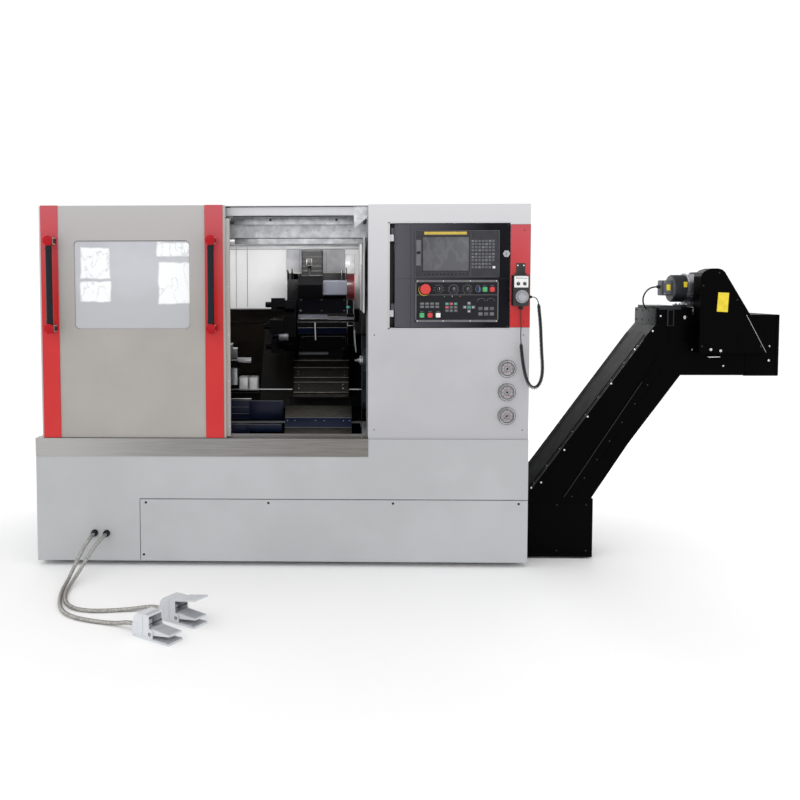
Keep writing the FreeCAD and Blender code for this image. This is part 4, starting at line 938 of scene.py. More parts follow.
def screen_details():
    k = Kit("screen_fittings", "control_door", "panel_grey")
    y = PANEL_Y
    k.box(1925, 2151, -6.2, -5.0, 1474, 1641, SCREEN, 0.5)
    k.rim(1922, 2154, 1471, 1644, 4, 4, -8.3, -5.2, DARK, 0.5)
    k.box(1932, 2139, y - 0.4, y + 0.2, 1651, 1665, GOLD, 0.2)
    k.box(1890, 1919, y - 2.2, y + 0.2, 1496, 1630, DARK, 1.6)
    k.box(1893, 1916, y - 3.2, y - 2.0, 1500, 1626, RIM, 1.0)
    k.box(1895, 1914, y - 3.8, y - 3.0, 1556, 1570, DARK, 0.6)
    for i in range(12):
        x = 1938 + 18.6 * i
        k.box(x - 6.4, x + 6.4, y - 1.6, y + 0.2, 1452.5, 1463.5, DARK, 1.2)
    # data keys: nine rows of short keys with pale legends
    rows = ((1619, 7), (1604, 7), (1589, 7), (1574, 7), (1556, 7), (1541, 7), (1526, 7), (1508, 6), (1492, 6))
    for r, (z, count) in enumerate(rows):
        for c in range(count):
            x = 2168.5 + 16.6 * c
            k.key(x, z, 6.8, 5.8, y - 1.8, y + 0.2, GREY_KEY if (r + c) % 5 else RIM, 1.4)
            k.box(x - 3.4, x - 0.9, y - 2.1, y - 1.6, z - 0.6, z + 3.0, LEGEND_DIM, 0)
            if (r * 3 + c) % 2:
                k.box(x + 1.4, x + 3.6, y - 2.1, y - 1.6, z - 3.2, z - 0.2, LEGEND_DIM, 0)
    k.box(2264, 2279, y - 2.0, y + 0.2, 1485, 1498, WCOAT, 1.4)
    k.screws((1898, 2093, 2288), y, (1448, 1666), 2.6, SCREW_DARK, 1.4)
    k.rim(1888, 2298, 1443, 1671, 1.5, 1.5, y - 0.6, y + 0.2, RIM, 0.3)
    k.box(2158, 2159.2, y - 0.3, y + 0.2, 1446, 1664, RIM, 0)
    k.done()


screen_details()


def operator_details():
    k = Kit("operator_fittings", "control_door", "panel_grey")
    y = PANEL_Y
    x0, x1, z0, z1 = 1890, 2295, 1224, 1430
    k.rim(x0, x1, z0, z1, 5, 11, y - 1.3, y + 0.2, RIM, 0.7)
    k.screws((1900, 2026, 2158, 2286), y - 1.2, (z1 - 5.5, z0 + 5.5), 3.0, SCREW, 1.5)
    k.box(x0 + 5, x1 - 5, y - 0.6, y + 0.2, 1356, 1358.4, RIM, 0.3)
    # collars of the emergency stop
    k.collar(30.2, 20.0, 1935.6, (y + 0.2, y - 3.0), 1383.2, YELLOW)
    k.collar(20.4, 17.5, 1937, (y + 0.2, y - 4.2), 1385, DARK)
    # scales round the three knobs
    for x, count, sweep in ((2005, 7, 200), (2076, 17, 290), (2143, 13, 290)):
        k.collar(20.0, 18.6, x, (y + 0.2, y - 1.0), KNOB_Z, RIM)
        for i in range(count):
            a = -sweep / 2 + sweep * i / (count - 1)
            k.tick(x, KNOB_Z, a, 21.5, 26.0 if i % 2 else 28.5, 0.6, y - 0.5, y + 0.2, LEGEND_DIM)
    # key switch rosette, button collars and short marks above them
    k.collar(13.5, 9.0, 2196, (y + 0.2, y - 1.6), KNOB_Z, CHROME)
    for x, z in ((2228, KNOB_Z), (2264, KNOB_Z), (1922, 1258), (1962, 1258), (2001, 1258)):
        k.collar(13.2, 11.2, x, (y + 0.2, y - 2.2), z, RIM)
        for s, w in ((-6, 3.6), (0, 5.0), (6, 3.6)):
            k.box(x + s - w / 2, x + s + w / 2, y - 0.5, y + 0.2, z + 17.5, z + 19.3, LEGEND_DIM, 0)
    for s in (-7, 0, 7):
        k.box(2196 + s - 2, 2196 + s + 2, y - 0.5, y + 0.2, 1401.5, 1403.3, LEGEND_DIM, 0)
    # small lamps
    for x, z, m in ((2032, 1349, GCOAT), (2070, 1351, WCOAT), (2108, 1350, PCOAT)):
        k.pin(2.6, x, (y + 0.2, y - 1.6), z, m, 0.5, 16)
    # two rows of four keys, then three rows of three
    for r in range(2):
        for c in range(4):
            x, z = 1923 + 24.5 * c, 1314.5 - 15.6 * r
            k.key(x, z, 9.6, 5.6, y - 1.6, y + 0.2, RIM, 1.2)
            k.box(x - 4, x + 3, y - 1.9, y - 1.4, z - 0.8, z + 1.0, LEGEND_DIM, 0)
            k.pin(1.2, x + 6.8, (y - 1.4, y - 2.1), z + 2.6, GCOAT, 0, 10)
    tones = ((TEAL, PINK, TEAL), (PINK, GREY_KEY, GREY_KEY), (GREY_KEY, GREY_KEY, GREY_KEY))
    for r in range(3):
        for c in range(3):
            x, z = 2044.5 + 21.3 * c, 1313.5 - 16.8 * r
            k.key(x, z, 8.6, 6.4, y - 1.6, y + 0.2, tones[r][c], 1.2)
            k.key(x, z, 2.4, 0.8, y - 1.9, y - 1.4, LEGEND, 0)
    # direction keys about a rapid key
    for dx, dz in ((0, 19), (0, -19), (-21, 0), (21, 0), (0, 0)):
        x, z = 2152 + dx, 1297 + dz
        k.key(x, z, 8.8, 7.4, y - 1.6, y + 0.2, RIM if dx or dz else TEAL, 1.2)
        if dx or dz:
            s, ax, az = 4.0, (dx > 0) - (dx < 0), (dz > 0) - (dz < 0)
            up_down = [(x - az * s, z + az * s), (x + az * s, z + az * s), (x, z - az * s)]
            sideways = [(x + ax * s, z), (x - ax * s, z + s), (x - ax * s, z - s)]
            k.plate(up_down if az else sideways, "y", y - 1.95, y - 1.5, LEGEND)
    # override marks, drawn as thin arcs
    for x, z in ((2212, 1338), (2258, 1338)):
        for i in range(12):
            pts = [polar(x, z - 18, r, a + 12 * i) for a, r in ((20, 20), (28, 20), (28, 21.4), (20, 21.4))]
            k.plate(pts, "y", y - 0.5, y + 0.2, LEGEND_DIM)
    for r in range(2):
        for c in range(3):
            x, z = 2208 + 28 * c, 1290 - 26 * r
            k.key(x, z, 10, 8, y - 1.6, y + 0.2, (GREY_KEY, RIM)[(r + c) % 2], 1.4)
            k.box(x - 4, x + 4, y - 1.9, y - 1.4, z + 1, z + 2.6, LEGEND_DIM, 0)
    k.done()
    for kind, x in (("mode", 2005), ("feed", 2076), ("spindle", 2143)):
        k = Kit(kind + "_knob_mark", kind + "_knob", "black_plastic")
        f = face_of("knob_" + kind)
        k.collar(10.6, 9.0, x, (f + 0.2, f - 0.5), KNOB_Z, RIM, 32)
        k.pin(1.7, x, (f + 0.1, f - 0.6), KNOB_Z + 7, LEGEND, 0, 12)
        k.box(x - 0.9, x + 0.9, f - 0.6, f + 0.1, KNOB_Z - 2, KNOB_Z + 7, LEGEND, 0)
        k.done()
    k = Kit("latch_ring", "latch", "key_metal")
    f = face_of("control_latch")
    k.collar(10.5, 7.4, 2331, (f + 0.4, f - 0.6), 1557, CHROME, 32)
    k.box(2329.6, 2332.4, f - 0.5, f + 0.1, 1551, 1563, SCREW_DARK, 0)
    k.done()


operator_details()


def control_door_details():
    k = Kit("control_door_fittings", "control_door", "dark_door")
    for z in (1250, 1620):
        for s in (-12, 12):
            k.screw(1798, -2, z + s, 2.8, SCREW_DARK, proud=1.3)
    k.box(1792, 2346, -2.5, -1.6, 1435.5, 1437.0, SEAL, 0.2)
    k.box(1866, 1868, -2.6, -1.6, 1200, 1702, SEAL, 0.2)
    k.screws((1800, 2340), -2, (1205, 1697), 2.8, SCREW_DARK, 1.3)
    k.done()


control_door_details()


def pendant_details():
    k = Kit("pendant_fittings", "machine", "black_plastic")
    y = -62.0
    k.box(2361, 2428, y - 0.5, y + 0.2, 1393, 1448, WCOAT, 0.3)
    for x in (2380, 2411):
        k.collar(9.0, 7.0, x, (y, y - 1.4), 1411, RIM, 24)
        k.lathe(((0, 6.6), (3.2, 6.4), (5.2, 5.2), (5.6, 0.0)), (x, y - 0.2, 1411), (0, -1, 0), DARK, 24)
        k.box(x - 0.7, x + 0.7, y - 6.4, y - 5.2, 1411, 1416.5, LEGEND, 0)
        for i in range(5):
            u, w = polar(x, 1411, 11.5, 150 - 30 * i)
            k.pin(0.8, u, (y - 0.3, y - 0.8), w, DARK, 0, 8)
    k.box(2368, 2421, y - 0.9, y - 0.2, 1436, 1437.4, DARK, 0)
    k.box(2368, 2402, y - 0.9, y - 0.2, 1441, 1442.2, DARK, 0)
    for x in (2362, 2427):
        for z in (1309, 1448):
            k.screw(x + (1.5 if x < 2400 else -1.5), y, z, 2.2, SCREW_DARK, proud=1.0)
    k.done()
    k = Kit("dial_scale", "dial", "key_metal")
    x, z = 2397, 1349
    for i in range(50):
        k.tick(x, z, 7.2 * i, 25.5 if i % 5 else 24.0, 29.5, 0.35, -74.4, -73.9, DARK)
    k.collar(30.8, 30.0, x, (-73.9, -74.5), z, CHROME, 48)
    k.collar(22.4, 20.8, x, (-81.9, -82.6), z, RIM, 40)
    k.done()


pendant_details()


# ---- working chamber -----------------------------------------------------------------------
AXIS_Y, AXIS_Z = 550, 988   # the spindle's axis
SLANT = Matrix.Translation((0, AXIS_Y, AXIS_Z)) @ Matrix.Rotation(rad(45), 4, "X")   # (x, u, n) to (x, y, z)


def chamber_details():
    k = Kit("chamber_fittings", "machine", "liner_steel")
    # seams, folded strips and blank plates of the rear wall
    for x in (953, 884):
        k.box(x - 1.2, x + 1.2, 1117.0, 1119.6, 1270, 1650, RIM if x > 900 else PALE_SEAM, 0.3)
    for y in (300, 620):
        k.box(784.2, 786, y, y + 3, 830, 1648, RIM, 0.3)
    for z in range(1290, 1650, 22):
        k.pin(2.0, 953, (1118.6, 1116.2), z, SCREW_DARK, 0, 10)
    k.box(1196, 1278, 1110, 1118.5, 1486, 1626, PLATE_GREY, 1.5)
    k.box(1278, 1556, 1112, 1118.8, 1486, 1626, PLATE_GREY, 1.5)
    k.box(1440, 1442, 1110.6, 1112.5, 1488, 1624, PALE_SEAM, 0.3)
    k.box(1556, 1616, 1114, 1118.8, 1470, 1596, WCOAT, 1.0)
    for z0, z1 in ((1640, 1650), (1626, 1632)):
        k.box(785, 1639, 1100, 1119, z0, z1, PLATE_GREY, 1.0)
    # sheet between the door rail and the galvanised beam, with its two bolts
    k.box(977, 1640, 198, 200, 1716, 1758, ZINC, 0.6)
    for x in (1165, 1503):
        k.pin(7.0, x, (198, 190), 1739, SCREW_DARK, 1.0, 6)
    k.box(977, 1640, 240, 252, 1619, 1650.5, ZINC, 1.0)
    k.box(977, 1640, 238.6, 241, 1646, 1648.5, SEAL, 0.5)
    # light boxes on an arm from the headstock wall, and the ribbed block beside them
    k.box(784.2, 962, 404, 418, 900, 924, OXIDE, 2.0)
    k.box(926, 967, 400, 432, 866, 958, ALLOY, 2.0)
    for i in range(7):
        k.box(930, 963, 397.5, 400.5, 872 + 12 * i, 877 + 12 * i, ALLOY, 0.8)
    for x0, x1 in ((968, 1020), (1022, 1072)):
        k.box(x0, x1, 470, 540, 829, 905, WCOAT, 2.5)
        k.box(x0 + 4, x1 - 4, 467.6, 470.5, 834, 900, WCOAT, 1.5)
    k.box(784.2, 1074, 490, 510, 815, 829.5, OXIDE, 1.5)
    # long rails low in the chamber
    for z, y in ((836, 470), (805, 300)):
        k.pin(3.2, (784.5, 1052 if z < 820 else 1261), y, z, STEEL_ROUND, 0, 12)
    k.pin(3.2, (1574, 1639.5), 470, 836, STEEL_ROUND, 0, 12)
    # panels low at the left, their blue a painted sky reflection: the fixed halves, which the carriage's own halves
    # slide over
    for z0, z1, y in ((697, 797, 302), (626, 694, 152)):
        k.box(784.5, 1050, y, y + 6, z0, z1, SKY_REFLECTION_SHEET, 1.5)
        k.box(960, 1048, y - 1.6, y + 0.2, z1 - 4, z1, STRIP_GREY, 0.5)
    for z in (760, 725):
        k.box(860, 1048, 300.8, 302.2, z, z + 1.6, PALE_SEAM, 0.3)
    k.box(1636.5, 1639.6, 320, 324, 640, 1640, SEAL, 0.3)
    k.done()


def carriage_details():
    """Way covers between the carriage and the trough, and the rolled lips of the fixed cover; their pale strips are
    painted highlights.
    """
    k = Kit("way_covers", "carriage", "steel")
    low_y, low_z, high_y, high_z = 128.0, 631.0, 250.0, 776.0   # edges of the sloping cover
    # the middle band's blue is a painted sky reflection
    bands = ((0.0, 0.29, COVER_STEEL), (0.29, 0.60, SKY_REFLECTION_SHEET), (0.60, 1.0, COVER_STEEL))
    for a, b, m in bands:
        y0, z0 = low_y + (high_y - low_y) * a, low_z + (high_z - low_z) * a
        y1, z1 = low_y + (high_y - low_y) * b, low_z + (high_z - low_z) * b
        k.plate(((y0, z0), (y1, z1), (y1 + 4, z1 - 3), (y0 + 4, z0 - 3)), "x", 1236, 1582, m, 0.8)
        # painted highlight: a pale rod along the near edge of each band
        k.tube(((1237, y0 + 1, z0 + 1), (1581, y0 + 1, z0 + 1)), 2.2, STRIP_GREY, 8)
    k.box(1236, 1240, 128, 250, 628, 636, SEAL, 1)
    # the carriage's halves of the low panels, their blue a painted sky reflection
    for z0, z1, y in ((697, 797, 293), (655, 694, 143)):
        k.box(1044, 1222, y, y + 5, z0, z1, SKY_REFLECTION_SHEET, 1.2)
        k.box(1046, 1220, y - 1.4, y + 0.2, z1 - 4, z1, STRIP_GREY, 0.5)
    for x in (1250, 1290, 1396, 1440, 1540, 1570):
        k.rod(1.6, (x, 182, 706), (x, 180, 708), LEGEND, 0, 8)
    k.plate(((250, 776), (420, 800), (424, 797), (252, 771)), "x", 1246, 1580, OXIDE, 0.8)
    # painted highlight: a pale strip on the cover's lower edge
    k.box(1268, 1566, -148, -143, -178.7, -177.1, LIP_HIGHLIGHT, 0.7, SLANT)
    k.done()
    k = Kit("cover_lips", "slide_cover", "steel")
    # painted highlight: the lips are pale along their edges
    k.box(1262, 1572, -92, -87, -172.4, -171.0, LIP_HIGHLIGHT, 0.6, SLANT)
    k.box(1262, 1572, -20, -15.6, -169.45, -169.2, LIP_HIGHLIGHT, 0, SLANT)
    for x in (1290, 1540):
        for u in (-60, -34):
            k.pin(3, x, u, (-172.4, -171.2), SCREW, 0, 12, SLANT)
    k.done()


def slide_details():
    k = Kit("cross_slide_fittings", "cross_slide", "servo_black")
    # painted highlights: pale strips on the slide's step edges
    for u, n, x0, x1 in ((8, -163.1, 1260, 1574), (76, -157.1, 1256, 1576), (131, -157.1, 1254, 1578)):
        k.box(x0, x1, u, u + 5, n, n + 1.8, LIP_HIGHLIGHT, 0.8, SLANT)
    for x in (1284, 1548):
        for u in (30, 54, 96):
            top = -163.1 if u < 76 else -157.1
            k.pin(3, x, u, (top, top + 1.4), SCREW, 0, 12, SLANT)
    # frame plate and posts behind the servo
    k.box(1212, 1562, 862, 868, 1318, 1480, SERVO, 1.5)
    k.box(1212, 1300, 850, 868, 1250, 1478, SERVO, 2.0)
    for x, w, z in ((1212, 14, 1500), (1236, 14, 1508), (1250, 30, 1476), (1532, 8, 1498), (1556, 9, 1510)):
        k.box(x, x + w, 850, 864, 1440, z, SERVO, 1.5)
    # servo: cooling ribs, connector and cables
    for i in range(9):
        k.box(1299, 1425, 797.6, 800.3, 1352 + 27 * i, 1357 + 27 * i, SERVO, 0.8)
    k.box(1330, 1362, 782, 800, 1520, 1560, DARK, 3)
    k.pin(9, 1346, 788, (1520, 1500), OXIDE, 1, 20)
    k.tube([(1346, 788, 1505), (1346, 786, 1480), (1344, 782, 1450), (1338, 776, 1424), (1322, 772, 1406),
            (1300, 770, 1398), (1280, 772, 1390), (1262, 790, 1380), (1250, 830, 1374)], 5, DARK, 12)
    k.box(1296, 1426, 794, 800, 1604, 1612.5, DARK, 1.5)
    for i in range(5):
        k.box(1306 + 24 * i, 1316 + 24 * i, 786, 798, 1436 + 3 * (i % 2), 1444, STRIP_GREY, 1)
    # turret housing: light strips above its front edge, panel seams, screws and coolant pipes
    k.box(1284, 1604, 196, 260, 100, 103, TURRET, 1.0, SLANT)
    k.box(1288, 1450, 218, 252, 103, 105.5, STRIP_GREY, 1.0, SLANT)
    k.box(1452, 1604, 214, 232, 103, 105.5, STRIP_GREY, 1.0, SLANT)
    k.box(1452, 1560, 236, 252, 103, 105.0, SERVO, 1.0, SLANT)
    k.box(1562.5, 1603, 172, 380, -70, 99, TURRET, 4.0, SLANT)
    # a strip whose blue is a painted sky reflection
    k.box(1288, 1562, 162.5, 165.2, 40, 92, SKY_REFLECTION_SHEET, 1.0, SLANT)
    k.box(1300, 1556, 163.2, 165.3, -100, 20, SERVO, 1.0, SLANT)
    for x in (1298, 1420, 1548):
        for u in (286, 372):
            k.pin(5, x, u, (100, 103.5), OXIDE, 0.8, 16, SLANT)
    for x in (1312, 1544):
        for n in (-84, 6):
            k.pin(4.4, x, (165, 161.5), n, OXIDE, 0.8, 16, SLANT)
    k.box(1286, 1456, 136, 150, -118, -100, STRIP_GREY, 1.5, SLANT)
    k.tube([(1384, 588, 1196), (1384, 584, 1170), (1385, 586, 1140), (1386, 600, 1100)], 3.4, TUBE, 10)
    k.tube([(1600, 640, 1200), (1603, 632, 1160), (1607, 634, 1110), (1611, 650, 1060), (1615, 668, 1026)], 3.6,
           TUBE, 10)
    k.tube([(1560, 676, 1238), (1580, 660, 1232), (1598, 646, 1216), (1600, 640, 1196)], 4.0, DARK, 10)
    k.lathe([(0, 2), (1, 7), (5, 12), (11, 14), (17, 12), (21, 7), (22, 2)], (1569, 706, 1266), (0, 0.2, 1), TEAL, 20)
    # motor body bands and cap rim
    for x in (1432, 1548):
        k.collar(45.8, 43.6, (x, x + 6), 805, 1392, OXIDE, 40)
    k.collar(82.6, 76, (1605.4, 1607.5), 805, 1392, RED, 40)
    k.done()


def turret_details():
    """Screws and blocks on the disc, which turn with it."""
    k = Kit("turret_fittings", "turret", "dark_steel")
    cy, cz = 745.2, 1174.7   # the disc's axis
    for i in range(8):
        for r in (96, 132):
            y, z = polar(cy, cz, r, 22.5 + 45 * i)
            k.pin(5.5, (1207, 1203.5), y, z, SCREW_DARK, 0.8, 12)
    k.collar(70, 56, (1207.2, 1202), cy, cz, OXIDE, 40)
    k.lathe(((0, 46), (5, 46), (9, 40), (10, 0)), (1206.8, cy, cz), (-1, 0, 0), STEEL_ROUND, 40)
    turn = Matrix.Translation((0, cy, cz)) @ Matrix.Rotation(rad(202.5), 4, "X")
    k.box(1176, 1236, 118, 158.5, -22, 22, ALLOY, 3.0, turn)
    k.box(1140, 1180, 126, 152, -14, 14, OXIDE, 2.5, turn)
    k.done()


def chuck_details():
    k = Kit("chuck_fittings", "spindle", "steel")
    for r, w in ((104.6, 2.0), (78, 1.2), (52, 1.2)):
        k.collar(r, r - w, (900.4, 899.6), AXIS_Y, AXIS_Z, OXIDE, 64)
    for i in range(3):
        for s in (-1, 1):
            y, z = polar(AXIS_Y, AXIS_Z, 82, 90 + 120 * i + s * 34)
            k.pin(6, (899.8, 901.2), y, z, SCREW_DARK, 0.5, 12)
    k.done()


def tint(name, c, rough, level, metal_part=0.0, scale=9):
    m = Mat(name, rough, metal_part, Specular_IOR_Level=level)
    m.colour(m.mix(m.cloud(scale, 4), shade(c, 0.82), shade(c, 1.18)))
    return m.finish((scale * 3, 3), rough - 0.08, rough + 0.1, (400, 2), 0.08, 0.0005)


PLATE_GREY = tint("plate_grey", (0.42, 0.42, 0.44), 0.4, 0.3)
PALE_SEAM = tint("pale_seam", (0.20, 0.20, 0.21), 0.5, 0.2)
STRIP_GREY = tint("strip_grey", (0.085, 0.088, 0.11), 0.35, 0.3)
# painted reflection: a dark blue standing in for a reflection of the sky
SKY_REFLECTION_SHEET = tint("sheet_painted_sky_reflection", (0.004, 0.008, 0.026), 0.32, 0.16)
# painted highlight: a pale tone for rounded lips and edges
LIP_HIGHLIGHT = tint("lip_painted_highlight", (0.30, 0.285, 0.26), 0.3, 0.4, 0.6, 30)
chamber_details()
carriage_details()
slide_details()
turret_details()
chuck_details()
lamp = area("chamber_lamp", P(1240, 420, 1630), P(1240, 1118, 1480), (0.72, 0.12), 3.6)
lamp.data.spread = rad(120)
lamp.visible_camera = False


# ---- chip conveyor -------------------------------------------------------------------------


def conveyor_details():
    k = Kit("conveyor_fittings", "machine", "black_paint")
    line = [(2505, 371.0), (3055, 1128.0)]

    def strip(a, b, y0, y1, inset, width, m):
        """A flat bar beside the line from a to b, kept on the faces y0 to y1."""
        d = (Vector((b[0], b[1])) - Vector((a[0], a[1]))).normalized()
        n = Vector((d.y, -d.x))
        pts = [Vector(a) + n * inset, Vector(b) + n * inset, Vector(b) + n * (inset + width),
               Vector(a) + n * (inset + width)]
        k.plate([tuple(p) for p in pts], "y", y0, y1, m)

    # cover sheet of the incline: rims, a painted highlight along its top edge and its row of screws
    strip((2462, 312), (3080, 1162), 147.6, 150.2, 0.5, 24, BLACK)
    strip(line[0], line[1], 146.9, 150.0, -0.6, 1.8, EDGE)
    for x, z in ((3101, 1172), (3012, 1079), (2897, 905), (2781, 736), (2666, 564), (2550, 396), (2500, 368)):
        k.screw(x, 147.6, z, 5.0, SCREW, proud=2.4)
    for y in (172, 438):
        k.plate([(2470, 326 + 2), (3070, 1151 + 2), (3066, 1153.6 + 2), (2466, 329 + 2)], "y", y, y + 3, BLACK, 0.5)
    for x in range(2520, 3033, 64):
        z = 777 + RISE * (x - 2800)
        for y in (166, 444):
            k.rod(5, (x, y, z - 1), (x - 2.2, y, z + 1.7), SCREW, 0.6, 12)
    # middle seam of the side plate, with a painted highlight line beside it
    strip((2665, 320), (3129, 1036), 147.2, 150.2, -3, 6, BLACK)
    strip((2668, 322), (3052, 914), 146.3, 148.2, -0.8, 1.7, EDGE)
    strip((2700, 330), (3150, 1024), 148.4, 150.2, 26, 70, BLACK)
    for t in range(7):
        x, z = 2690 + 62 * t, 336 + 95.6 * t
        k.screw(x + 18, 148.4, z - 12, 3.4, SCREW_DARK, proud=1.6)
    # foot box: a bolted hatch, and painted highlight lines along its right and bottom edges
    k.box(2470, 2796, 147.8, 150.2, 30, 292, BLACK, 1.0)
    k.screws((2484, 2633, 2782), 147.8, (42, 280), 3.6, SCREW_DARK, 1.8)
    k.tube([(2814.6, 150.4, 12), (2814.6, 150.4, 308)], 0.9, EDGE, 8)
    k.tube([(2455, 150.4, 9.0), (2814, 150.4, 9.0)], 0.9, EDGE, 8)
    # head: end box, lid and uprights
    k.box(3116, 3168, 150.6, 459.4, 1214, 1285.4, BLACK, 1.5)
    k.box(3128, 3242, 148, 462, 1285.2, 1298.6, GREY_LID, 2.0)
    k.box(3128, 3242, 146, 150, 1279, 1298.6, GREY_LID, 1.2)
    k.box(3169, 3206, 144.0, 150.2, 1196, 1280, GREY_LID, 1.5)
    k.box(3176, 3199, 142.0, 145.0, 1200, 1276, BLACK, 1.0)
    k.box(3113, 3118, 148.0, 462.0, 1200, 1284, GREY_LID, 1.5)
    k.screw(3140, 150.4, 1248, 5.0, SCREW, proud=2.6)
    for y in (170, 250, 350, 440):
        for z in (1222, 1272):
            k.pin(5, (3113.2, 3110.6), y, z, SCREW_DARK, 0.8, 12)
    k.pin(9.5, 3261, (150.2, 147.6), 1241, SCREW, 1, 24)
    k.pin(6.2, 3261, (147.8, 142.8), 1241, SCREW, 1, 6)
    k.pin(9.0, 3305, (150.2, 147.8), 1078, SCREW, 1, 24)
    k.pin(5.8, 3305, (148, 143.6), 1078, SCREW, 1, 6)
    for x, z in ((3356, 1084), (3404, 1078)):
        k.pin(7.5, x, (60.2, 58.4), z, SCREW, 0.8, 24)
        k.pin(4.8, x, (58.6, 55.2), z, SCREW, 0.8, 6)
    k.tube([(3376, 150, 1042), (3376, 138, 1042), (3379, 134, 1042), (3432, 134, 1043), (3435, 138, 1043),
            (3435, 150, 1043)], 4.0, SCREW, 12)
    k.screw(3458, 150.2, 996, 5.0, SCREW, proud=2.6)
    for z in (1094, 1023):
        k.screw(3684, 150.2, z, 6.0, SCREW, proud=2.8)
    for a, b, c, d in ((3566, 3726, 1238, 1250), (3566, 3576, 956, 1250), (3716, 3726, 956, 1250),
                       (3566, 3726, 954, 964)):
        k.box(a, b, 147.8, 150.2, c, d, BLACK, 0.8)
    # painted highlight line down the right edge of the chute frame
    k.tube([(3731.4, 150.4, 952), (3731.4, 150.4, 1250)], 0.9, EDGE, 8)
    k.box(3180, 3290, 148.2, 150.2, 1110, 1200, BLACK, 1.0)
    # chain guard: flange screws, a painted highlight along its edge and another along its bottom edge, a blank plate
    # and a round black plate
    for x, z in ((3313, 1100), (3313, 1400), (3390, 1464), (3480, 1330), (3600, 1100)):
        k.screw(x, 60.2, z, 3.6, SCREW_DARK, proud=1.8)
    k.tube([(3526, 59.6, 1256), (3626, 59.6, 1071)], 1.5, GUARD_EDGE_HIGHLIGHT, 8)
    k.tube([(3302, 61, 1070), (3658, 61, 1070)], 1.0, EDGE, 8)
    k.plate([(3386, 1367), (3439, 1365), (3434, 1269), (3380, 1272)], "y", 58.9, 60.2, YELLOW, 0.3)
    k.pin(46, 3530, (60.2, 58.2), 1125, BLACK, 1.0, 40)
    # rear side of the casing
    k.box(3180, 3540, 459.8, 461.6, 980, 1260, BLACK, 1.0)
    strip((2720, 400), (3100, 960), 459.8, 461.4, -40, 80, BLACK)
    for x, z in ((3196, 1240), (3524, 1240), (3196, 1000), (3524, 1000), (2760, 470), (3060, 900)):
        k.pin(5, x, (461, 463.6), z, SCREW, 0.8, 12)
    # chute mouth, its two lips in the painted highlight grey
    for y0, y1 in ((151, 161), (449, 459)):
        k.box(3562, 3730, y0, y1, 944.5, 948.2, EDGE, 0.8)
    k.done()


def motor_details():
    k = Kit("gearmotor_fittings", "machine", "aluminium")
    y, z = 250, 1386   # the motor's axis
    for x in range(3224, 3281, 7):
        k.collar(69.5, 60.0, (x, x + 2.6), y, z, MOTOR_GREY, 48)
    k.box(3167.6, 3171.2, y - 32, y + 32, 1354, 1424, TERMINAL, 1.5)
    k.box(3175, 3225, 211.6, 214.3, 1355, 1423, TERMINAL, 1.2)
    for x in (3179, 3221):
        for c in (1359, 1419):
            k.screw(x, 211.8, c, 2.4, SCREW, proud=1.4)
    k.box(3188, 3208, 210.9, 211.8, 1376, 1406, YELLOW, 0.3)
    k.box(3264, 3281, 179, 192, 1392, 1420, YELLOW, 0.5)
    k.pin(10, (3172, 3160), 250, 1395, DARK, 1.5, 6)
    k.pin(8, (3161, 3152), 250, 1395, DARK, 1.0, 24)
    k.collar(77, 66, (3285.6, 3293.6), y, z, ALLOY, 56)
    for i in range(8):
        c, d = polar(y, z, 71.5, 22.5 + 45 * i)
        k.pin(4.6, (3285.7, 3281.4), c, d, SCREW, 0.8, 6)
    for i in range(10):
        turn = Matrix.Translation((0, y, z)) @ Matrix.Rotation(rad(200 + 14 * i), 4, "X")
        k.box(3296, 3343, 70, 76.5, -2.2, 2.2, ALLOY, 1.0, turn)
    for s in (-1, 1):
        foot = [(y + s * 54, 1304), (y + s * 30, 1304), (y + s * 30, 1332), (y + s * 36, 1334)]
        for x in (3300, 3326):
            k.plate(foot, "x", x, x + 8, ALLOY, 0.8)
        for x in (3268, 3288):
            k.pin(5.2, x, y + s * 45, (1303, 1309), SCREW, 0.8, 6)
    k.box(3340, 3347, 182, 318, 1380, 1466, SERVO, 2.0)
    for c in (1392, 1454):
        for s in (-1, 1):
            k.pin(4.4, (3425, 3428.6), y + s * 56, c, SCREW, 0.8, 6)
    k.lathe(((0, 41), (4, 41), (8, 38), (16, 38)), (3375, 180.5, 1430), (0, -1, 0), SERVO, 40)
    k.done()


# painted highlight: a grey for lines along the black casing's edges
EDGE = tint("black_edge_painted_highlight", (0.035, 0.036, 0.040), 0.35, 0.4)
# painted highlight: a pale tone for the line along the chain guard's edge
GUARD_EDGE_HIGHLIGHT = tint("guard_edge_painted_highlight", (0.42, 0.42, 0.43), 0.3, 0.5, 0.7)
GREY_LID = tint("lid_grey", (0.014, 0.016, 0.019), 0.42, 0.25)
conveyor_details()
motor_details()


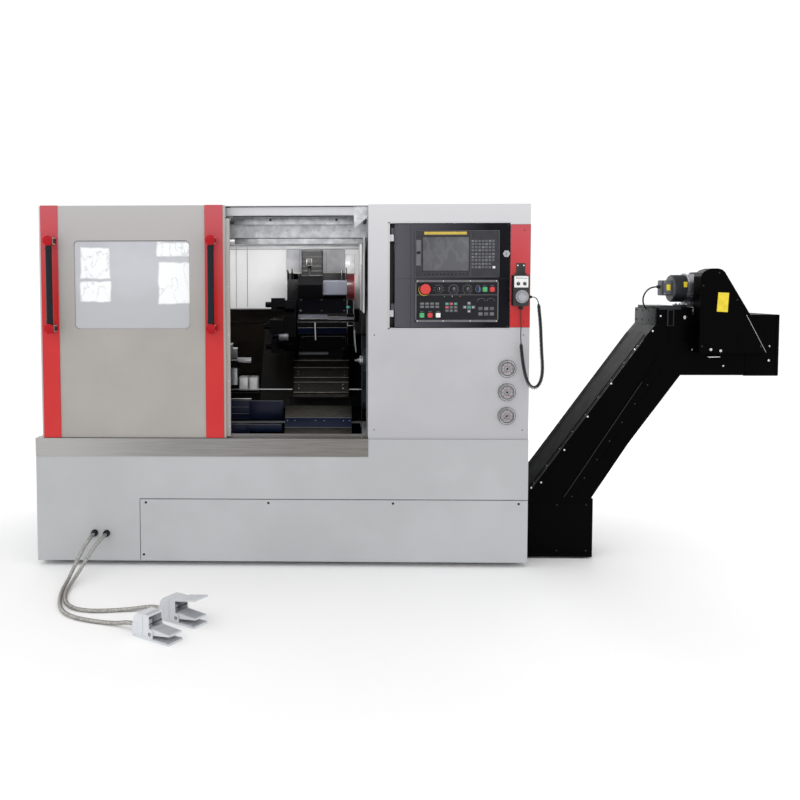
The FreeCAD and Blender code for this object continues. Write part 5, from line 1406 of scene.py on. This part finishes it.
# ---- foot switches -------------------------------------------------------------------------
def pedal_details():
    for treadle, at, visor in (("front_treadle", (704.0, -867.0, 0), False),
                               ("rear_treadle", (776.0, -689.0, 0), True)):
        place = Matrix.Translation(at) @ Matrix.Rotation(rad(-32.6), 4, "Z")
        k = Kit(treadle.replace("treadle", "pedal_fittings"), "machine", "pedal_paint")
        # raised bands and rib of the hood, non-slip strip, screws and gland nut
        for s in (-1, 1):
            k.box(55, 61, s * 41.9 - 0.9, s * 41.9 + 0.9, 12, 96, PEDAL, 0.7, place)
            k.box(6, 108, s * 41.7 - 0.7, s * 41.7 + 0.7, 9, 15, PEDAL, 0.6, place)
            k.pin(7.5, 98, (s * 41, s * 43.2), 26, SCREW_DARK, 0.8, 20, place)
            k.pin(3.0, 98, (s * 43, s * 43.5), 26, SCREW, 0.2, 6, place)
            k.box(14, 30, s * 41.6 - 0.6, s * 41.6 + 0.6, 30, 62, PEDAL, 0.5, place)
        k.box(55, 61, -41.5, 41.5, 97.6, 99.4, PEDAL, 0.7, place)
        if not visor:
            for i in range(3):
                k.box(66 + 7 * i, 69 + 7 * i, -34, 34, 97.8, 99.0, PAD, 0.4, place)
        k.box(30, 50, -1.6, 1.6, 97.6, 100.6, PEDAL, 0.8, place)
        k.box(124, 197, -37, 37, 7.9, 8.9, PAD, 0.4, place)
        for i in range(11):
            x = 127 + 6.4 * i
            k.box(x, x + 2.4, -35, 35, 8.8, 10.0, PAD, 0.5, place)
        for x in (8, 192):
            for s in (-1, 1):
                k.pin(3.2, x, s * 36.5, (7.8, 9.9), SCREW_DARK, 0.5, 12, place)
        k.pin(14.0, (-12, -4), 0, 30, ZINC, 1.2, 6, place)
        k.pin(12.4, (-16, -12), 0, 30, ZINC, 1.0, 24, place)
        k.box(91.8, 92.8, -36, 36, 62, 66, SEAL, 0, place)
        if visor:
            tilt = Matrix.Translation((150, 0, 110)) @ Matrix.Rotation(rad(-10.4), 4, "Y")
            for s in (-1, 1):
                k.box(-50, 54, s * 39.2 - 0.9, s * 39.2 + 0.9, -5.5, 1.6, PEDAL, 0.7, place @ tilt)
            k.box(51, 55, -40, 40, -5.5, 1.6, PEDAL, 0.9, place @ tilt)
            for i in range(7):
                x = 156 + 7 * i
                z = 112.2 + (x - 150) * 10 / 56
                k.box(x, x + 2, -32, 32, z - 0.2, z + 0.9, PEDAL, 0.3, place)
        k.done()
        k = Kit(treadle + "_pad", treadle, "pedal_paint")
        for i in range(12):
            x = 110 + 7 * i
            z = 46 - (x - 104) * 6 / 94
            k.box(x, x + 2.6, -31, 31, z - 0.3, z + 1.2, PAD, 0.5, place)
        for s in (-1, 1):
            k.box(108, 197, s * 34.2 - 1.1, s * 34.2 + 1.1, 38.4, 44.6, PEDAL, 0.7,
                  place @ Matrix.Translation((108, 0, 42)) @ Matrix.Rotation(rad(3.6), 4, "Y")
                  @ Matrix.Translation((-108, 0, -42)))
        k.box(196.2, 198.4, -34, 34, 33, 40.6, PEDAL, 0.9, place)
        k.done()


pedal_details()


# ---- rear, sides and roof ------------------------------------------------------------------
def louvres(k, axis, at, out, u0, u1, z0, z1, count):
    """Pressed slots in a sheet facing along x or y: a dark slot under a small lip for each."""
    step = (z1 - z0) / count
    for i in range(count):
        z = z0 + step * (i + 0.5)
        for lo, hi, near, far, m in ((z - 4, z - 0.6, 0.05, 0.45, SEAL), (z - 0.6, z + 2.6, 0.05, 0.9, CREAM)):
            k.sheet(axis, *sorted((at + out * near, at + out * far)), u0, u1, lo, hi, m, 0.3)


REAR_Y, ROOF_Z = 1480.0, 1800.0       # faces of the rear wall and of the roof
LEFT_X, RIGHT_X = 34.0, 2450.0        # faces of the two ends


def rear_details():
    k = Kit("rear_fittings", "machine", "cream_paint")
    y = REAR_Y
    # three service doors with hinges, latches and louvres
    for x0, x1, louvre in ((70, 720, True), (760, 1600, False), (1650, 2400, True)):
        k.rim(x0, x1, 690, 1740, 2.4, 2.4, y - 0.4, y + 0.45, SEAL, 0.15)
        for z in (800, 1215, 1630):
            k.box(x0 - 9, x0 + 11, y - 0.3, y + 0.9, z - 36, z + 36, RIM, 0.4)
            for s in (-24, 24):
                k.pin(3.4, x0 + 7, (y + 0.4, y + 1.0), z + s, SCREW_DARK, 0.2, 12)
        for z in (960, 1480):
            k.collar(14, 9.6, x1 - 34, (y - 0.2, y + 0.9), z, CHROME, 32)
            k.pin(9.8, x1 - 34, (y - 0.2, y + 0.6), z, DARK, 0.2, 32)
            k.box(x1 - 35.2, x1 - 32.8, y + 0.4, y + 0.95, z - 6, z + 6, CHROME, 0.2)
        if louvre:
            mid = (x0 + x1) / 2
            louvres(k, "y", y, 1, mid - 170, mid + 170, 1420, 1660, 12)
            louvres(k, "y", y, 1, mid - 170, mid + 170, 760, 940, 9)
    # fan grille, cable plate, blank rating plate and coolant fittings
    for r in range(20, 121, 20):
        k.collar(r, r - 5, 1180, (y - 0.2, y + 0.9), 1480, RIM, 56)
    for i in range(4):
        x, z = polar(1180, 1480, 128, 45 + 90 * i)
        k.pin(4, x, (y, y + 1.0), z, SCREW_DARK, 0.2, 12)
    k.box(900, 1140, y - 0.3, y + 0.8, 760, 880, ZINC, 0.5)
    for i in range(5):
        k.collar(17, 11, 932 + 44 * i, (y + 0.3, y + 1.0), 820, DARK, 24)
    k.box(1300, 1440, y - 0.3, y + 0.7, 1080, 1170, ALLOY, 0.4)
    for x, z in ((1308, 1088), (1432, 1088), (1308, 1162), (1432, 1162)):
        k.pin(2.6, x, (y + 0.4, y + 1.0), z, SCREW, 0.2, 10)
    k.box(1220, 1270, y - 0.3, y + 0.6, 1100, 1150, YELLOW, 0.3)
    for x in (1480, 1540):
        k.collar(21, 12, x, (y - 0.3, y + 0.95), 760, ZINC, 6)
        k.pin(12.4, x, (y - 0.3, y + 0.5), 760, DARK, 0.2, 24)
    # base at the rear: panel seams and screws
    for x in (490, 980, 1470, 1960):
        k.box(x - 1.2, x + 1.2, y - 0.4, y + 0.45, 40, 330, SEAL, 0.15)
    k.box(4, 2446, y - 0.4, y + 0.45, 339, 341.4, SEAL, 0.15)
    k.box(4, 2446, y - 0.4, y + 0.45, 644, 647, SEAL, 0.15)
    for x in (30, 470, 510, 960, 1000, 1450, 1490, 1940, 1980, 2420):
        for z in (62, 312):
            k.pin(5.4, x, (y, y + 1.0), z, SCREW_DARK, 0.3, 14)
    # roof: seams, screws, lifting eye caps, extraction port and vent
    z = ROOF_Z
    for x in (700, 1330, 1960):
        k.box(x - 1.2, x + 1.2, 60, 1440, z - 0.4, z + 0.3, SEAL, 0.1)
    for yy in (420, 1100):
        k.box(60, 2420, yy - 1.2, yy + 1.2, z - 0.4, z + 0.3, SEAL, 0.1)
    for x in (90, 2390):
        for yy in (90, 1390):
            k.collar(34, 20, x, yy, (z - 0.2, z + 0.6), ZINC, 40)
            k.pin(20.4, x, yy, (z - 0.2, z + 0.4), DARK, 0.2, 6)
    k.collar(104, 92, 1010, 760, (z - 0.2, z + 0.7), ZINC, 64)
    k.pin(92.5, 1010, 760, (z - 0.3, z + 0.3), SEAL, 0, 64)
    for r in (24, 48, 72):
        k.collar(r, r - 5, 1010, 760, (z + 0.2, z + 0.6), RIM, 48)
    for i in range(14):
        k.box(1700, 2000, 560 + 22 * i, 566 + 22 * i, z - 0.2, z + 0.5, SEAL, 0.2)
    for x in (120, 660, 740, 1290, 1370, 1920, 2000, 2360):
        for yy in (440, 1080, 1120, 1420):
            k.pin(4, x, yy, (z, z + 0.6), SCREW_DARK, 0.2, 10)
    k.done()


def side_details():
    k = Kit("side_fittings", "machine", "cream_paint")
    # left end: service door over the spindle drive
    x = LEFT_X
    k.rim(180, 1183, 700, 1700, 3, 3, x - 0.8, x + 0.4, SEAL, 0.2, "x")
    k.box(x - 2.0, x + 0.3, 186, 1177, 706, 1694, CREAM, 1.0)
    for zz in (820, 1200, 1580):
        k.pin(6.5, x - 5, 1181, (zz - 34, zz + 34), RIM, 1.5, 20)
        k.box(x - 3.6, x - 1.6, 1140, 1178, zz - 30, zz + 30, RIM, 0.6)
        for s in (-20, 20):
            k.screw(x - 3.6, 1158, zz + s, 3.4, SCREW_DARK, (-1, 0, 0), 1.6)
    for zz in (960, 1440):
        k.box(x - 9, x - 1.8, 204, 236, zz - 60, zz + 60, DARK, 3)
        k.box(x - 16, x - 8, 212, 228, zz - 44, zz + 10, DARK, 3)
        k.pin(8, (x - 8.5, x - 11), 220, zz + 36, CHROME, 0.6, 24)
    louvres(k, "x", x - 2.0, -1, 420, 940, 1420, 1640, 12)
    louvres(k, "x", x - 2.0, -1, 420, 940, 760, 960, 10)
    k.box(x - 3.0, x - 1.8, 620, 700, 1180, 1250, YELLOW, 0.4)
    for yy in (60, 1450):
        for zz in (720, 1200, 1680):
            k.screw(x, yy, zz, 4.0, SCREW_DARK, (-1, 0, 0), 1.6)
    for zz in (70, 320, 560):
        for yy in (60, 500, 980, 1420):
            k.pin(5.2, (0.2, -0.6), yy, zz, SCREW_DARK, 0.2, 14)
    k.box(-0.4, 0.3, 20, 1460, 339, 341.2, SEAL, 0.1)
    # right end: electrical cabinet door, cable entries and connection plate
    x = RIGHT_X
    k.rim(520, 1383, 720, 1710, 3, 3, x - 0.4, x + 0.8, SEAL, 0.2, "x")
    k.box(x - 0.3, x + 2.0, 526, 1377, 726, 1704, CREAM, 1.0)
    for zz in (840, 1220, 1600):
        k.pin(6.5, x + 5, 1381, (zz - 34, zz + 34), RIM, 1.5, 20)
    for zz in (980, 1460):
        k.box(x + 1.8, x + 9, 548, 580, zz - 60, zz + 60, DARK, 3)
        k.pin(8, (x + 8.5, x + 11), 564, zz + 36, CHROME, 0.6, 24)
    # main switch on a blank yellow plate
    k.box(x + 1.8, x + 3.4, 900, 990, 1380, 1470, YELLOW, 0.6)
    k.pin(33, (x + 3.2, x + 14), 945, 1425, RED, 2.5, 40)
    k.box(x + 13, x + 30, 935, 955, 1396, 1454, RED, 4)
    louvres(k, "x", x + 2.0, 1, 680, 1220, 1560, 1680, 7)
    louvres(k, "x", x + 2.0, 1, 680, 1220, 760, 920, 9)
    k.box(x + 0.2, x + 4, 60, 120, 1560, 1640, ALLOY, 1.0)
    for yy, zz in ((68, 1568), (112, 1568), (68, 1632), (112, 1632)):
        k.screw(x + 4, yy, zz, 3.0, SCREW, (1, 0, 0), 1.4)
    for yy in (520, 980, 1420):
        k.pin(5.2, (x, x + 1.2), yy, 560, SCREW_DARK, 0.3, 14)
    k.box(x - 0.3, x + 0.6, 470, 1476, 339, 341.2, SEAL, 0.1)
    # blind flange bolts of the conveyor's entry
    for zz in (60, 150, 240, 300):
        for yy in (143, 467):
            k.pin(5.4, (x, x + 3.2), yy, zz, SCREW, 0.6, 6)
    k.done()


rear_details()
side_details()
